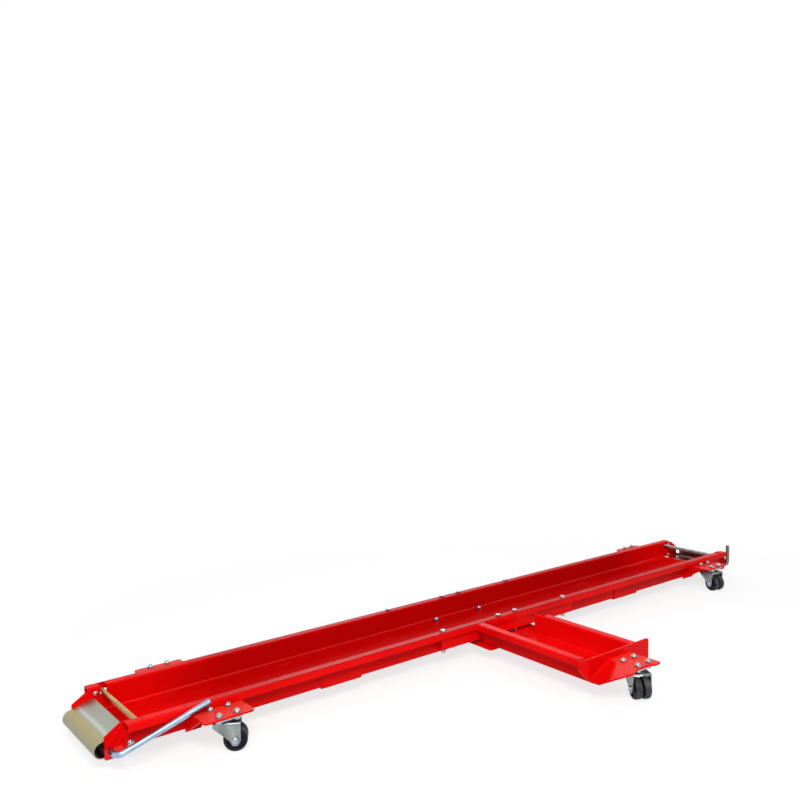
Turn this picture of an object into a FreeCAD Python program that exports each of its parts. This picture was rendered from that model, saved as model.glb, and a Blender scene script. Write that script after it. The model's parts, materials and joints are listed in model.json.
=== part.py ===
import FreeCAD, Part
import math
import os
import re
import Sketcher

# Motorcycle mover dolly: a wheel track in two bolted halves, a side stand tray on an arm,
# tilting ramps at both ends and five twin wheel swivel casters.
# X runs along the track, Y across it with the tray on the negative side, Z is up from the floor.

doc = FreeCAD.newDocument("mover_dolly")
dims = doc.addObject("Spreadsheet::Sheet", "dims")

driving = [
    # frame
    ("track_y", 196.8, "track centre line beside the middle of the whole dolly"),
    # wheel track
    ("track_length", 2120.0, "wheel track, end to end of its walls"),
    ("track_width", 254.0, "over the lips"),
    ("track_top", 94.0, "flange top above the ground"),
    ("flange_width", 26.0, "flange, from inside the wall to outside the lip"),
    ("lip_depth", 16.0, "lip, flange top included"),
    ("wall_height", 55.0, "underside of the floor to flange top"),
    ("sheet", 3.0, "folded sheet thickness"),
    ("bend_inner", 2.5, "inner radius of every fold"),
    ("floor_setback", 36.0, "floor cut back at each end for the ramp"),
    # fasteners
    ("bolt_dia", 8.0, "fastener shank"),
    ("bolt_room", 0.4, "hole minus shank"),
    ("nut_flats", 13.0, "across the flats of nuts and heads"),
    ("nut_height", 6.5, "nut"),
    ("head_height", 5.3, "hexagon head"),
    ("bolt_tail", 3.0, "thread left standing past a nut"),
    # splice rails
    ("rail_length", 500.0, "rail under each flange at the middle joint"),
    ("rail_depth", 43.0, "from the flange underside down"),
    ("rail_room", 0.3, "rail to the folds at wall and lip"),
    ("splice_inner", 32.0, "inner bolts from the middle of the pattern"),
    ("rail_edge", 22.0, "outer bolts in from the rail ends, before the shift"),
    ("splice_shift", 11.0, "bolt pattern ahead of the middle joint"),
    # straps under the track
    ("strap_width", 110.0, "along the track"),
    ("front_strap", 545.0, "front strap centre from the middle joint"),
    ("rear_strap", 522.0, "rear strap centre from the middle joint"),
    ("strap_rise", 37.0, "strap side up the wall from the track underside"),
    # caster brackets
    ("bracket_length", 112.0, "bracket plate along the track"),
    ("bracket_reach", 80.0, "bracket plate out from the wall"),
    ("bracket_step", 17.0, "bracket plate top below the flange top"),
    ("bracket_sheet", 4.0, "bracket plate"),
    ("bracket_corner", 6.0, "rounded outer corners of the bracket plate"),
    ("gusset_foot", 3.0, "flat foot of a gusset"),
    ("gusset_reach", 58.0, "gusset under the plate, out from the wall"),
    ("bracket_drop", 41.0, "back flange and gussets down from the plate top"),
    ("arch_dia", 60.0, "arch in the back flange over the turning wheels"),
    ("front_ear", 6.0, "lower corner of a front back flange ahead of the plate"),
    ("rear_ear", 24.0, "lower corner of a rear back flange ahead of the plate"),
    ("front_setback", 188.0, "front casters from the track end"),
    ("rear_setback", 148.0, "rear casters from the track end"),
    # casters
    ("king_offset", 50.0, "swivel axis out from the wall"),
    ("caster_pitch", 40.0, "square bolt pattern of a caster"),
    ("caster_plate", 60.0, "caster top plate, square"),
    ("caster_plate_sheet", 3.0, "caster top plate"),
    ("caster_corner", 7.0, "rounded corners of the top plate"),
    ("race_dia", 40.0, "swivel ball race"),
    ("race_lower_dia", 34.0, "lower edge of the ball race"),
    ("race_height", 7.6, "ball race under the top plate"),
    ("race_room", 0.3, "race to fork crown"),
    ("king_dia", 10.0, "riveted king pin"),
    ("king_head_dia", 17.0, "riveted head under the crown"),
    ("king_head", 3.0, "height of the riveted head"),
    ("king_room", 0.08, "radial running room at the king pin"),
    ("fork_sheet", 2.5, "fork crown and cheeks"),
    ("fork_inside", 42.0, "between the cheeks"),
    ("fork_back", 21.0, "crown behind the swivel axis"),
    ("cheek_drop", 9.0, "straight edge of a cheek below the crown"),
    ("cheek_end", 11.0, "half width of a cheek at the axle"),
    ("trail", 24.0, "axle behind the swivel axis"),
    ("wheel_dia", 50.0, "caster wheel"),
    ("wheel_width", 18.0, "one of the two wheels"),
    ("wheel_gap", 3.0, "between the two wheels"),
    ("wheel_clear", 6.3, "wheel below the king pin's riveted head"),
    ("wheel_edge", 4.0, "rounded tread edge"),
    ("hub_recess_dia", 33.0, "dished outer face"),
    ("hub_recess", 2.0, "depth of the dish"),
    ("hub_boss_dia", 15.0, "boss in the dish"),
    ("axle_dia", 8.0, "axle shank"),
    ("axle_room", 0.06, "radial running room at the axle"),
    ("axle_head_dia", 13.0, "round axle head"),
    ("axle_head", 3.5, "height of the axle head"),
    ("front_near_heading", -31.0, "trail direction of each caster, degrees from +X"),
    ("front_far_heading", -20.0, "trail direction"),
    ("rear_near_heading", -104.0, "trail direction"),
    ("rear_far_heading", -160.0, "trail direction"),
    ("tray_heading", -120.0, "trail direction"),
    # side stand tray
    ("tray_front", 134.0, "front lip of the tray ahead of the middle joint"),
    ("tray_width", 207.0, "over the lips of the tray"),
    ("tray_reach", 345.0, "tray out from the lip"),
    ("tray_room", 0.4, "tray to track lip"),
    ("tray_relief", 67.0, "rear flange of the tray cut back beside the track"),
    ("wall_relief", 36.0, "rear wall of the tray cut back beside the track"),
    ("cap_width", 250.0, "end plate of the tray"),
    ("cap_sheet", 4.0, "end plate"),
    ("wing_back", 9.0, "front end of the end plate bent back"),
    ("wing_past", 3.0, "front end past the tray lip"),
    ("wing_depth", 22.0, "upright edge of the front end"),
    ("wing_room", 2.0, "tray flange to the bent front end"),
    ("cap_lift", 3.0, "end plate's lower edge above the track underside"),
    ("tray_king", 4.0, "swivel axis of the tray caster ahead of the joint"),
    ("tray_plate_front", 70.0, "outer corner of the tray bracket ahead of its swivel axis"),
    ("tray_plate_rear", 45.0, "tray bracket behind its swivel axis"),
    ("tray_plate_reach", 88.0, "tray bracket out from the end plate"),
    ("tray_plate_drop", 25.0, "back flange of the tray bracket down from its top"),
    ("skirt_root", 26.0, "inner end of the skirt's bend ahead of the swivel axis"),
    ("skirt_back", 105.0, "skirt at the end plate ahead of the swivel axis"),
    ("skirt_front", 110.0, "outer corner of the skirt ahead of the swivel axis"),
    ("skirt_out", 31.0, "that corner out from the end plate"),
    ("skirt_fall", 25.0, "slope of the skirt, degrees"),
    ("scallop_dia", 160.0, "hollow in the tray bracket's outer edge"),
    ("scallop_depth", 10.0, "depth of that hollow"),
    ("scallop_ahead", 20.0, "hollow's middle ahead of the joint"),
    ("tongue_width", 226.0, "flat bar under the track that carries the tray"),
    ("tongue_sheet", 5.0, "flat bar"),
    ("tongue_middle", 15.0, "flat bar's middle ahead of the joint"),
    ("tongue_past", 45.0, "outer end of the flat bar past the lip"),
    ("tongue_short", 9.0, "inner end of the flat bar short of the wall"),
    ("far_bolt_inset", 25.0, "bolts through the track floor in from the wall"),
    ("near_bolt_past", 25.0, "bolts through the tray floor past the lip"),
    ("tongue_bolt_pitch", 166.0, "bolt spacing along the track"),
    ("tray_bolt_pitch", 100.0, "bolt spacing in the tray floor"),
    ("screw_sunk", 0.2, "countersunk heads below the tray floor"),
    # ramps
    ("cheek_sheet", 5.0, "ramp side plate"),
    ("cheek_room", 1.5, "side plate to track wall"),
    ("pivot_in", 12.0, "ramp pivot in from the track end"),
    ("pivot_up", 9.0, "ramp pivot above the track underside"),
    ("stop_in", 13.0, "stop bolt in from the track end"),
    ("stop_down", 11.0, "stop bolt below the flange top"),
    ("slot_room", 1.4, "stop slot height minus shank"),
    ("slot_drop", 2.4, "slot below the stop bolt, for the bolt's arc"),
    ("stop_room", 0.3, "stop nut to the outside of the wall"),
    ("side_tail", 20.0, "side plate inside the track"),
    ("side_down", 3.0, "side plate top below the flange top"),
    ("side_bottom", 24.0, "side plate foot"),
    ("side_nose", 36.5, "front edge of a side plate ahead of the track end"),
    ("shoulder_down", 24.5, "top of that front edge below the flange top"),
    ("side_brow", 3.0, "top edge's front end ahead of the track end"),
    ("side_heel", 7.0, "foot's rear end ahead of the track end"),
    ("lug_drop", 9.0, "underside of the lug below the pivot"),
    ("side_corner", 3.0, "rounded corners of a side plate"),
    ("flap_sheet", 2.0, "rolled ramp flap"),
    ("flap_tail_in", 8.0, "top edge of the flap in from the track end"),
    ("flap_tail_down", 18.6, "top edge of the flap below the flange top"),
    ("flap_reach", 57.0, "front of the roll ahead of the track end"),
    ("flap_roll", 17.0, "outer radius of the roll"),
    ("flap_under", 27.0, "underside of the roll above the ground"),
    ("flap_return", 12.0, "end of the underside ahead of the track end"),
    ("bar_dia", 12.0, "lever bar"),
    ("bar_ahead", 26.0, "lever bar's cross leg ahead of the track end"),
    ("bar_rise", 42.0, "lever bar's cross leg above the ground"),
    ("bar_bend", 14.0, "bend radius of the lever bar"),
    ("lever_room", 1.5, "lever arm to the lip"),
    ("lever_tip_in", 168.0, "lever tip in from the track end"),
    ("lever_tip_up", 4.0, "lever tip above the flange top"),
    ("handle_inset", 10.0, "upright handle inside the lip line"),
    ("handle_up", 17.0, "upright handle above the flange top"),
    ("bar_end", 8.0, "cross leg past the far side plate"),
    ("bar_chamfer", 1.2, "chamfered bar ends"),
    # lock rods
    ("rod_dia", 10.0, "lock rod"),
    ("rod_in", 31.5, "lock rod in from the track end"),
    ("rod_down", 13.0, "lock rod below the flange top"),
    ("rod_tip", 15.0, "free end of the rod inside the lip line"),
    ("rod_inset", 9.0, "pivoting end of the rod inside the lip line"),
    ("rod_slot_room", 2.4, "room above the rod in its hole, for the lift"),
    ("rod_side_room", 0.8, "width of the rod's hole minus its shank"),
    ("rod_pin_dia", 3.2, "cross pin that the rod tilts on"),
    ("rod_pin_length", 18.0, "cross pin"),
    ("rod_pin_out", 4.0, "cross pin out from the wall"),
    ("notch_in", 32.5, "flange notch in from the track end"),
    ("notch_width", 14.0, "flange notch"),
    ("notch_edge", 3.0, "flange left outside the notch"),
    ("mark_dia", 5.0, "small hole in the flange over the rod's pivoting end"),
    ("overrun", 4.0, "how far every cut passes its face"),
]

# Heights and places that follow from the sizes above.
derived = [
    ("bracket_top", "=track_top - bracket_step", "bracket plate top above the ground"),
    ("splice_outer", "=rail_length / 2 - rail_edge", "outer bolts from the middle of the pattern"),
    ("pivot_rise", "=track_top - wall_height + pivot_up", "ramp pivot above the ground"),
    ("stop_rise", "=track_top - stop_down", "stop bolt above the ground"),
    ("side_top", "=track_top - side_down", "side plate top"),
    ("side_shoulder", "=track_top - shoulder_down", "top of the side plate's front edge"),
    ("side_lug", "=pivot_rise - lug_drop", "underside of the pivot lug"),
    ("flap_tail_rise", "=track_top - flap_tail_down", "top edge of the flap"),
    ("lever_tip_rise", "=track_top + lever_tip_up", "lever tip above the ground"),
    ("handle_top", "=track_top + handle_up", "upright handle top above the ground"),
    ("rod_rise", "=track_top - rod_down", "lock rod above the ground"),
    ("lever_out", "=track_width / 2 + lever_room + bar_dia / 2", "lever arm from the centre line"),
    ("handle_out", "=track_width / 2 - handle_inset", "upright handle from the centre line"),
    ("rod_lead", "=track_width / 2 - rod_inset", "pivoting end of the rod from the centre line"),
    ("rod_length", "=track_width - rod_inset - rod_tip", "lock rod"),
    ("tray_end", "=track_width / 2 + tray_reach", "far end of the tray from the centre line"),
    ("cap_bottom", "=track_top - wall_height + cap_lift", "end plate's lower edge above the ground"),
    ("tongue_out", "=track_width / 2 + tongue_past", "outer end of the flat bar"),
    ("tongue_in", "=track_width / 2 - flange_width - tongue_short", "inner end of the flat bar"),
    ("tongue_bolt_far", "=track_width / 2 - flange_width - far_bolt_inset", "bolts through the track floor"),
    ("tongue_bolt_near", "=track_width / 2 + near_bolt_past", "bolts through the tray floor"),
]

for row, (alias, value, note) in enumerate(driving + derived, start=1):
    dims.set("A%d" % row, alias)
    dims.set("B%d" % row, str(value))
    dims.setAlias("B%d" % row, alias)
    dims.set("C%d" % row, note)
doc.recompute()

ends = ("front", "rear")
sides = ("near", "far")
nodes = {}


def mm(alias):
    return float(dims.get(alias))


def refs(text):
    return re.sub(r"[a-z][a-z_]+", lambda word: "dims." + word.group(0), text)


def bind(thing, name, text):
    thing.setExpression(name, refs(text))


def end_x(end, inward):
    if end == "front":
        return "-track_length / 2 + (%s)" % inward
    return "track_length / 2 - (%s)" % inward


def span_x(end, low, high):
    pair = (end_x(end, low), end_x(end, high))
    return pair if end == "front" else pair[::-1]


def side_y(side, outward):
    return "-(%s)" % outward if side == "near" else outward


def span_y(side, low, high):
    pair = (side_y(side, low), side_y(side, high))
    return pair if side == "far" else pair[::-1]


def slab(x, y, z):
    box = doc.addObject("Part::Box", "slab")
    for name, axis, (low, high) in (("Length", "x", x), ("Width", "y", y), ("Height", "z", z)):
        bind(box, name, "(%s) - (%s)" % (high, low))
        bind(box, "Placement.Base." + axis, low)
    return box


def along(axis):
    ways = {"x": FreeCAD.Vector(1, 0, 0), "y": FreeCAD.Vector(0, 1, 0), "z": FreeCAD.Vector(0, 0, 1)}
    return FreeCAD.Rotation(FreeCAD.Vector(0, 0, 1), ways[axis])


def pin(axis, start, length, dia):
    solid = doc.addObject("Part::Cylinder", "pin")
    solid.Placement.Rotation = along(axis)
    bind(solid, "Radius", "(%s) / 2" % dia)
    bind(solid, "Height", length)
    for name, text in zip("xyz", start):
        bind(solid, "Placement.Base." + name, text)
    return solid


def cone(start, length, low_dia, high_dia):
    solid = doc.addObject("Part::Cone", "cone")
    bind(solid, "Radius1", "(%s) / 2" % low_dia)
    bind(solid, "Radius2", "(%s) / 2" % high_dia)
    bind(solid, "Height", length)
    for name, text in zip("xyz", start):
        bind(solid, "Placement.Base." + name, text)
    return solid


def hexagon(axis, start, height):
    # six sided nut or bolt head, flats apart by the named size
    solid = doc.addObject("Part::Prism", "hexagon")
    solid.Polygon = 6
    solid.Placement.Rotation = along(axis)
    solid.setExpression("Circumradius", "dims.nut_flats / sqrt(3)")
    bind(solid, "Height", height)
    for name, text in zip("xyz", start):
        bind(solid, "Placement.Base." + name, text)
    return solid


def joined(pieces):
    whole = doc.addObject("Part::MultiFuse", "joined")
    whole.Shapes = pieces
    whole.Refine = True
    return whole


def cut_from(base, tools):
    tool = tools[0]
    if len(tools) > 1:
        tool = doc.addObject("Part::MultiFuse", "tools")
        tool.Shapes = tools
    rest = doc.addObject("Part::Cut", "rest")
    rest.Base = base
    rest.Tool = tool
    rest.Refine = True
    return rest


def rounded(base, picks):
    # picks is a list of (test on an edge, radius)
    doc.recompute()
    edges = []
    for index, edge in enumerate(base.Shape.Edges, start=1):
        for test, radius in picks:
            if test(edge):
                edges.append((index, radius, radius))
                break
    smooth = doc.addObject("Part::Fillet", "rounded")
    smooth.Base = base
    smooth.Edges = edges
    return smooth


def straight_along(edge, axis):
    if not isinstance(edge.Curve, (Part.Line, Part.LineSegment)):
        return False
    way = edge.Vertexes[1].Point - edge.Vertexes[0].Point
    return abs(abs(getattr(way.normalize(), axis)) - 1.0) < 1e-6


def outline(plane, points, start, depth):
    # flat plate: corner points as named sizes, padded from start by depth along the plane's third axis
    body = doc.addObject("PartDesign::Body", "plate")
    sketch = body.newObject("Sketcher::SketchObject", "plate_outline")
    support = [item for item in body.Origin.OriginFeatures if item.Role == plane + "_Plane"][0]
    sketch.AttachmentSupport = [(support, "")]
    sketch.MapMode = "FlatFace"
    doc.recompute()
    count = len(points)
    draft = [FreeCAD.Vector(number(u), number(v), 0) for u, v in points]
    for index in range(count):
        sketch.addGeometry(Part.LineSegment(draft[index], draft[(index + 1) % count]), False)
    for index in range(count):
        sketch.addConstraint(Sketcher.Constraint("Coincident", index, 2, (index + 1) % count, 1))
    for index, (u, v) in enumerate(points):
        for kind, text in (("DistanceX", u), ("DistanceY", v)):
            place = sketch.addConstraint(Sketcher.Constraint(kind, -1, 1, index, 1, number(text)))
            sketch.setExpression("Constraints[%d]" % place, refs(text))
    pad = body.newObject("PartDesign::Pad", "plate_pad")
    pad.Profile = sketch
    bind(pad, "Length", depth)
    pad.Reversed = plane == "XZ"
    axis = {"XY": "z", "XZ": "y", "YZ": "x"}[plane]
    bind(body, "Placement.Base." + axis, start)
    doc.recompute()
    return body


def number(text):
    # value of an expression in the sheet's names
    values = dims.evalExpression(refs(text))
    return float(values)


def fixed_shape(shape):
    solid = doc.addObject("Part::Feature", "shaped")
    solid.Shape = shape
    return solid


def node(name, thing):
    thing.Label = name
    bind(thing, "Placement.Base.y", "track_y")
    nodes[name] = thing


def group(pieces):
    together = doc.addObject("Part::Compound", "group")
    together.Links = pieces
    return together


# Places that several pieces share, as expressions in the sheet's names.
lip_out = "track_width / 2"
lip_in = "(track_width / 2 - sheet)"
wall_in = "(track_width / 2 - flange_width)"
wall_out = "(track_width / 2 - flange_width + sheet)"
flange_mid = "(track_width / 2 - flange_width / 2)"
flange_under = "(track_top - sheet)"
track_under = "(track_top - wall_height)"
floor_top = "(track_top - wall_height + sheet)"
rail_under = "(track_top - sheet - rail_depth)"
hole_dia = "(bolt_dia + bolt_room)"
king_y = "(track_width / 2 - flange_width + sheet + king_offset)"
tray_king_y = "(tray_end + cap_sheet + king_offset)"
bracket_under = "(bracket_top - bracket_sheet)"
crown_top = "(bracket_top - bracket_sheet - caster_plate_sheet - race_height - race_room)"
side_out = "(track_width / 2 - flange_width - cheek_room)"
side_in = "(track_width / 2 - flange_width - cheek_room - cheek_sheet)"


def folded(axis, run, outer_low, outer_high, floor_run):
    # hat section along one axis: floor, two walls, two flanges and two turned down lips
    def lay(run, across, up):
        return slab(run, across, up) if axis == "x" else slab(across, run, up)

    lo, hi = outer_low, outer_high
    pieces = [
        lay(floor_run, ("%s + flange_width - sheet" % lo, "%s - flange_width + sheet" % hi),
            (track_under, floor_top)),
        lay(run, ("%s + flange_width - sheet" % lo, "%s + flange_width" % lo), (track_under, "track_top")),
        lay(run, ("%s - flange_width" % hi, "%s - flange_width + sheet" % hi), (track_under, "track_top")),
        lay(run, (lo, "%s + flange_width" % lo), (flange_under, "track_top")),
        lay(run, ("%s - flange_width" % hi, hi), (flange_under, "track_top")),
        lay(run, (lo, "%s + sheet" % lo), ("track_top - lip_depth", "track_top")),
        lay(run, ("%s - sheet" % hi, hi), ("track_top - lip_depth", "track_top")),
    ]
    whole = joined(pieces)
    inner = mm("bend_inner")
    outer = mm("bend_inner") + mm("sheet")
    across = "y" if axis == "x" else "x"
    corners = [
        (lo, "track_top", outer),
        ("%s + sheet" % lo, flange_under, inner),
        ("%s + flange_width" % lo, "track_top", outer),
        ("%s + flange_width - sheet" % lo, flange_under, inner),
        ("%s + flange_width" % lo, floor_top, inner),
        ("%s + flange_width - sheet" % lo, track_under, outer),
        (hi, "track_top", outer),
        ("%s - sheet" % hi, flange_under, inner),
        ("%s - flange_width" % hi, "track_top", outer),
        ("%s - flange_width + sheet" % hi, flange_under, inner),
        ("%s - flange_width" % hi, floor_top, inner),
        ("%s - flange_width + sheet" % hi, track_under, outer),
    ]

    def at(place, height):
        here = (number(place), number(height))

        def test(edge):
            if not straight_along(edge, axis):
                return False
            point = edge.Vertexes[0].Point
            return abs(getattr(point, across) - here[0]) < 1e-4 and abs(point.z - here[1]) < 1e-4

        return test

    return rounded(whole, [(at(place, height), radius) for place, height, radius in corners])


def channel(end):
    first, last = ("-track_length / 2", "0") if end == "front" else ("0", "track_length / 2")
    floor_run = (end_x(end, "floor_setback"), "0") if end == "front" else ("0", end_x(end, "floor_setback"))
    section = folded("x", (first, last), "-track_width / 2", "track_width / 2", floor_run)
    through = ("track_top - sheet - overrun", "sheet + 2 * overrun")
    cuts = []
    toward = "-" if end == "front" else ""
    for side in sides:
        for place in ("splice_inner", "splice_outer"):
            spot = (toward + place + " - splice_shift", side_y(side, flange_mid), through[0])
            cuts.append(pin("z", spot, through[1], hole_dia))
        wall = span_y(side, wall_in + " - overrun", wall_out + " + overrun / 2")
        across = (wall[0], "(%s) - (%s)" % (wall[1], wall[0]))
        cuts.append(pin("y", (end_x(end, "pivot_in"), across[0], "pivot_rise"), across[1], hole_dia))
        slot_dia = "(bolt_dia + slot_room)"
        cuts.append(pin("y", (end_x(end, "stop_in"), across[0], "stop_rise"), across[1], slot_dia))
        slot = ("stop_rise - %s / 2 - slot_drop" % slot_dia, "stop_rise + %s / 2" % slot_dia)
        cuts.append(slab(span_x(end, "-overrun", "stop_in"), wall, slot))
    cuts += rod_cuts(end)
    cuts += floor_holes("track_" + end)
    node(end + "_channel", cut_from(section, cuts))


def rod_cuts(end):
    # the rod pivots in a tall hole in one wall and drops into an open notch on the other side
    held, open_side = ("near", "far") if end == "front" else ("far", "near")
    wall = span_y(held, wall_in + " - overrun", wall_out + " + overrun / 2")
    across = "(%s) - (%s)" % (wall[1], wall[0])
    width = "(rod_dia + rod_side_room)"
    cuts = []
    for rise in ("rod_rise", "rod_rise + rod_slot_room"):
        cuts.append(pin("y", (end_x(end, "rod_in"), wall[0], rise), across, width))
    spot = (end_x(end, "notch_in"), side_y(held, flange_mid), "track_top - sheet - overrun")
    cuts.append(pin("z", spot, "sheet + 2 * overrun", "mark_dia"))
    tip = "track_width / 2 - notch_edge - notch_width / 2"
    high = "track_top + overrun"
    low = "rod_rise - rod_dia / 2 - rod_side_room / 2"
    run = span_x(end, "notch_in - notch_width / 2", "notch_in + notch_width / 2")
    wall = span_y(open_side, wall_in + " - overrun", wall_out + " + bend_inner")
    cuts.append(slab(run, wall, (low, high)))
    cuts.append(slab(run, span_y(open_side, wall_in, tip), (flange_under + " - bend_inner", high)))
    spot = (end_x(end, "notch_in"), side_y(open_side, tip), flange_under + " - bend_inner")
    cuts.append(pin("z", spot, "sheet + bend_inner + overrun", "notch_width"))
    return cuts


def tongue_spots():
    # bolts that tie the tray's flat bar to each half of the track and to the tray floor
    spots = {}
    for way, half in (("-", "front"), ("+", "rear")):
        spots["track_" + half] = [("-tongue_middle %s tongue_bolt_pitch / 2" % way, "tongue_bolt_far")]
    tray_middle = "tray_width / 2 - tray_front"
    step = " %s tray_bolt_pitch / 2"
    spots["tray"] = [(tray_middle + step % way, "-tongue_bolt_near") for way in "-+"]
    return spots


def floor_holes(where):
    # through holes, countersunk in the tray
    low = track_under + " - tongue_sheet - overrun"
    depth = "tongue_sheet + sheet + 2 * overrun"
    sink = "sheet + overrun"
    cuts = []
    for x, y in tongue_spots()[where]:
        cuts.append(pin("z", (x, y, low), depth, hole_dia))
        if where == "tray":
            cuts.append(cone((x, y, track_under), sink, hole_dia, "(%s + 2 * (%s))" % (hole_dia, sink)))
    return cuts


def splice_rail(side):
    clear = "bend_inner + rail_room"
    low, high = span_y(side, "%s + %s" % (wall_out, clear), "%s - (%s)" % (lip_in, clear))
    run = ("-rail_length / 2", "rail_length / 2")
    trough = joined([
        slab(run, (low, high), (rail_under, rail_under + " + sheet")),
        slab(run, (low, low + " + sheet"), (rail_under, flange_under)),
        slab(run, (high + " - sheet", high), (rail_under, flange_under)),
    ])
    inset = mm("bend_inner") + mm("sheet")
    tops = number(flange_under)
    holes = []
    for place in splice_places:
        holes.append(pin("z", (place, side_y(side, flange_mid), rail_under + " - overrun"),
                         "sheet + 2 * overrun", hole_dia))
    drilled = cut_from(trough, holes)

    def fold(edge):
        if not straight_along(edge, "x"):
            return False
        point = edge.Vertexes[0].Point
        return abs(point.z - number(rail_under)) < 1e-4 and point.z < tops

    node(side + "_splice_rail", rounded(drilled, [(fold, inset / 2)]))


splice_places = [place + " - splice_shift"
                 for place in ("-splice_outer", "-splice_inner", "splice_inner", "splice_outer")]


def upright_bolt(x, y, head_under, grip_top):
    # hexagon bolt pointing up: head below, nut above
    grip = "(%s) - (%s)" % (grip_top, head_under)
    shank = pin("z", (x, y, head_under), grip + " + nut_height + bolt_tail", "bolt_dia")
    head = hexagon("z", (x, y, "(%s) - head_height" % head_under), "head_height")
    bolt = joined([shank, head])
    nut = cut_from(hexagon("z", (x, y, grip_top), "nut_height"),
                   [pin("z", (x, y, "(%s) - overrun" % grip_top), "nut_height + 2 * overrun", "bolt_dia")])
    return [bolt, nut]


def cross_bolt(x, z, side, inner, outer):
    # hexagon bolt through a wall: head inside the track, nut outside
    low, high = span_y(side, inner, outer)
    if side == "near":
        shank = pin("y", (x, "(%s) - nut_height - bolt_tail" % low, z),
                    "(%s) - (%s) + nut_height + bolt_tail" % (high, low), "bolt_dia")
        head = hexagon("y", (x, high, z), "head_height")
        nut_start = "(%s) - nut_height" % low
    else:
        shank = pin("y", (x, low, z), "(%s) - (%s) + nut_height + bolt_tail" % (high, low), "bolt_dia")
        head = hexagon("y", (x, "(%s) - head_height" % low, z), "head_height")
        nut_start = high
    nut = cut_from(hexagon("y", (x, nut_start, z), "nut_height"),
                   [pin("y", (x, "(%s) - overrun" % nut_start, z), "nut_height + 2 * overrun", "bolt_dia")])
    return [joined([shank, head]), nut]


def splice_bolts():
    pieces = []
    for side in sides:
        for place in splice_places:
            pieces += upright_bolt(place, side_y(side, flange_mid), rail_under, "track_top")
    node("splice_bolts", group(pieces))


def strap(end):
    middle = "-front_strap" if end == "front" else "rear_strap"
    run = ("%s - strap_width / 2" % middle, "%s + strap_width / 2" % middle)
    reach = wall_out + " + sheet"
    low, high = "%s - sheet" % track_under, "%s + strap_rise" % track_under
    whole = joined([
        slab(run, span_y("far", "-(%s)" % reach, reach), (low, track_under)),
        slab(run, span_y("near", wall_out, reach), (low, high)),
        slab(run, span_y("far", wall_out, reach), (low, high)),
        corner_fill(run, "near"),
        corner_fill(run, "far"),
    ])

    def fold(edge):
        if not straight_along(edge, "x"):
            return False
        return abs(edge.Vertexes[0].Point.z - number(low)) < 1e-4

    node(end + "_strap", rounded(whole, [(fold, mm("bend_inner") + mm("sheet"))]))


def corner_fill(run, side):
    # the strap follows the track's rounded lower corner from outside
    radius = "(bend_inner + sheet)"
    across = span_y(side, wall_out + " - " + radius, wall_out)
    block = slab(run, across, (track_under, track_under + " + " + radius))
    centre = (run[0], side_y(side, wall_out + " - " + radius), track_under + " + " + radius)
    return cut_from(block, [pin("x", centre, "(%s) - (%s)" % (run[1], run[0]), "2 * " + radius)])


def caster_spots(x, y):
    step = " %s caster_pitch / 2"
    return [(x + step % along_x, y + step % along_y) for along_x in "-+" for along_y in "-+"]


def caster_plate_holes(x, y):
    low = bracket_under + " - caster_plate_sheet - overrun"
    depth = "bracket_sheet + caster_plate_sheet + 2 * overrun"
    return [pin("z", (spot_x, spot_y, low), depth, hole_dia) for spot_x, spot_y in caster_spots(x, y)]


def bracket(end, side):
    middle = caster_x(end)
    run = ("%s - bracket_length / 2" % middle, "%s + bracket_length / 2" % middle)
    reach = "(%s + bracket_reach)" % wall_out
    plate = slab(run, span_y(side, wall_out, reach), (bracket_under, "bracket_top"))
    foot = "(bracket_top - bracket_drop)"
    flange = [
        (run[0], "bracket_top"),
        ("%s - %s_ear" % (run[0], end), foot),
        (run[1], foot),
        (run[1], "bracket_top"),
    ]
    back = outline("XZ", flange, span_y(side, wall_out, wall_out + " + bracket_sheet")[0], "bracket_sheet")
    ribs = []
    for start in (run[0], "%s - bracket_sheet" % run[1]):
        corners = [
            (side_y(side, wall_out), foot),
            (side_y(side, wall_out + " + gusset_foot"), foot),
            (side_y(side, wall_out + " + gusset_reach"), bracket_under),
            (side_y(side, wall_out), bracket_under),
        ]
        ribs.append(outline("YZ", corners, start, "bracket_sheet"))
    whole = joined([plate, back] + ribs)
    inside = span_y(side, wall_out + " - overrun", wall_out + " + bracket_sheet + overrun")[0]
    arch = pin("y", (middle, inside, axle_z), "bracket_sheet + 2 * overrun", "arch_dia")
    drilled = cut_from(whole, caster_plate_holes(middle, side_y(side, king_y)) + [arch])

    def corner(edge):
        if not straight_along(edge, "z"):
            return False
        return abs(abs(edge.Vertexes[0].Point.y) - number(reach)) < 1e-4

    node("%s_%s_bracket" % (end, side), rounded(drilled, [(corner, mm("bracket_corner"))]))


def caster_x(end):
    return end_x(end, end + "_setback")


def tray():
    low, high = "-tray_front", "(tray_width - tray_front)"
    root = "-(track_width / 2 + tray_room)"
    section = folded("y", ("-tray_end", root), low, high, ("-tray_end", root))
    rise = ("track_top - lip_depth - overrun", "track_top + overrun")
    beside_track = slab(("%s - flange_width + sheet" % high, "%s + overrun" % high),
                        ("-track_width / 2 - tray_relief", "-track_width / 2 + overrun"), rise)
    wall_end = slab(("%s - flange_width - overrun" % high, "%s + overrun" % high),
                    ("-track_width / 2 - wall_relief", "-track_width / 2 + overrun"),
                    (floor_top + " + bend_inner", "track_top + overrun"))
    behind_wing = slab(("%s - overrun" % low, "%s + flange_width - sheet" % low),
                       ("-tray_end - overrun", "-tray_end + wing_back + wing_room"), rise)
    node("stand_tray", cut_from(section, floor_holes("tray") + [beside_track, wall_end, behind_wing]))


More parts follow.
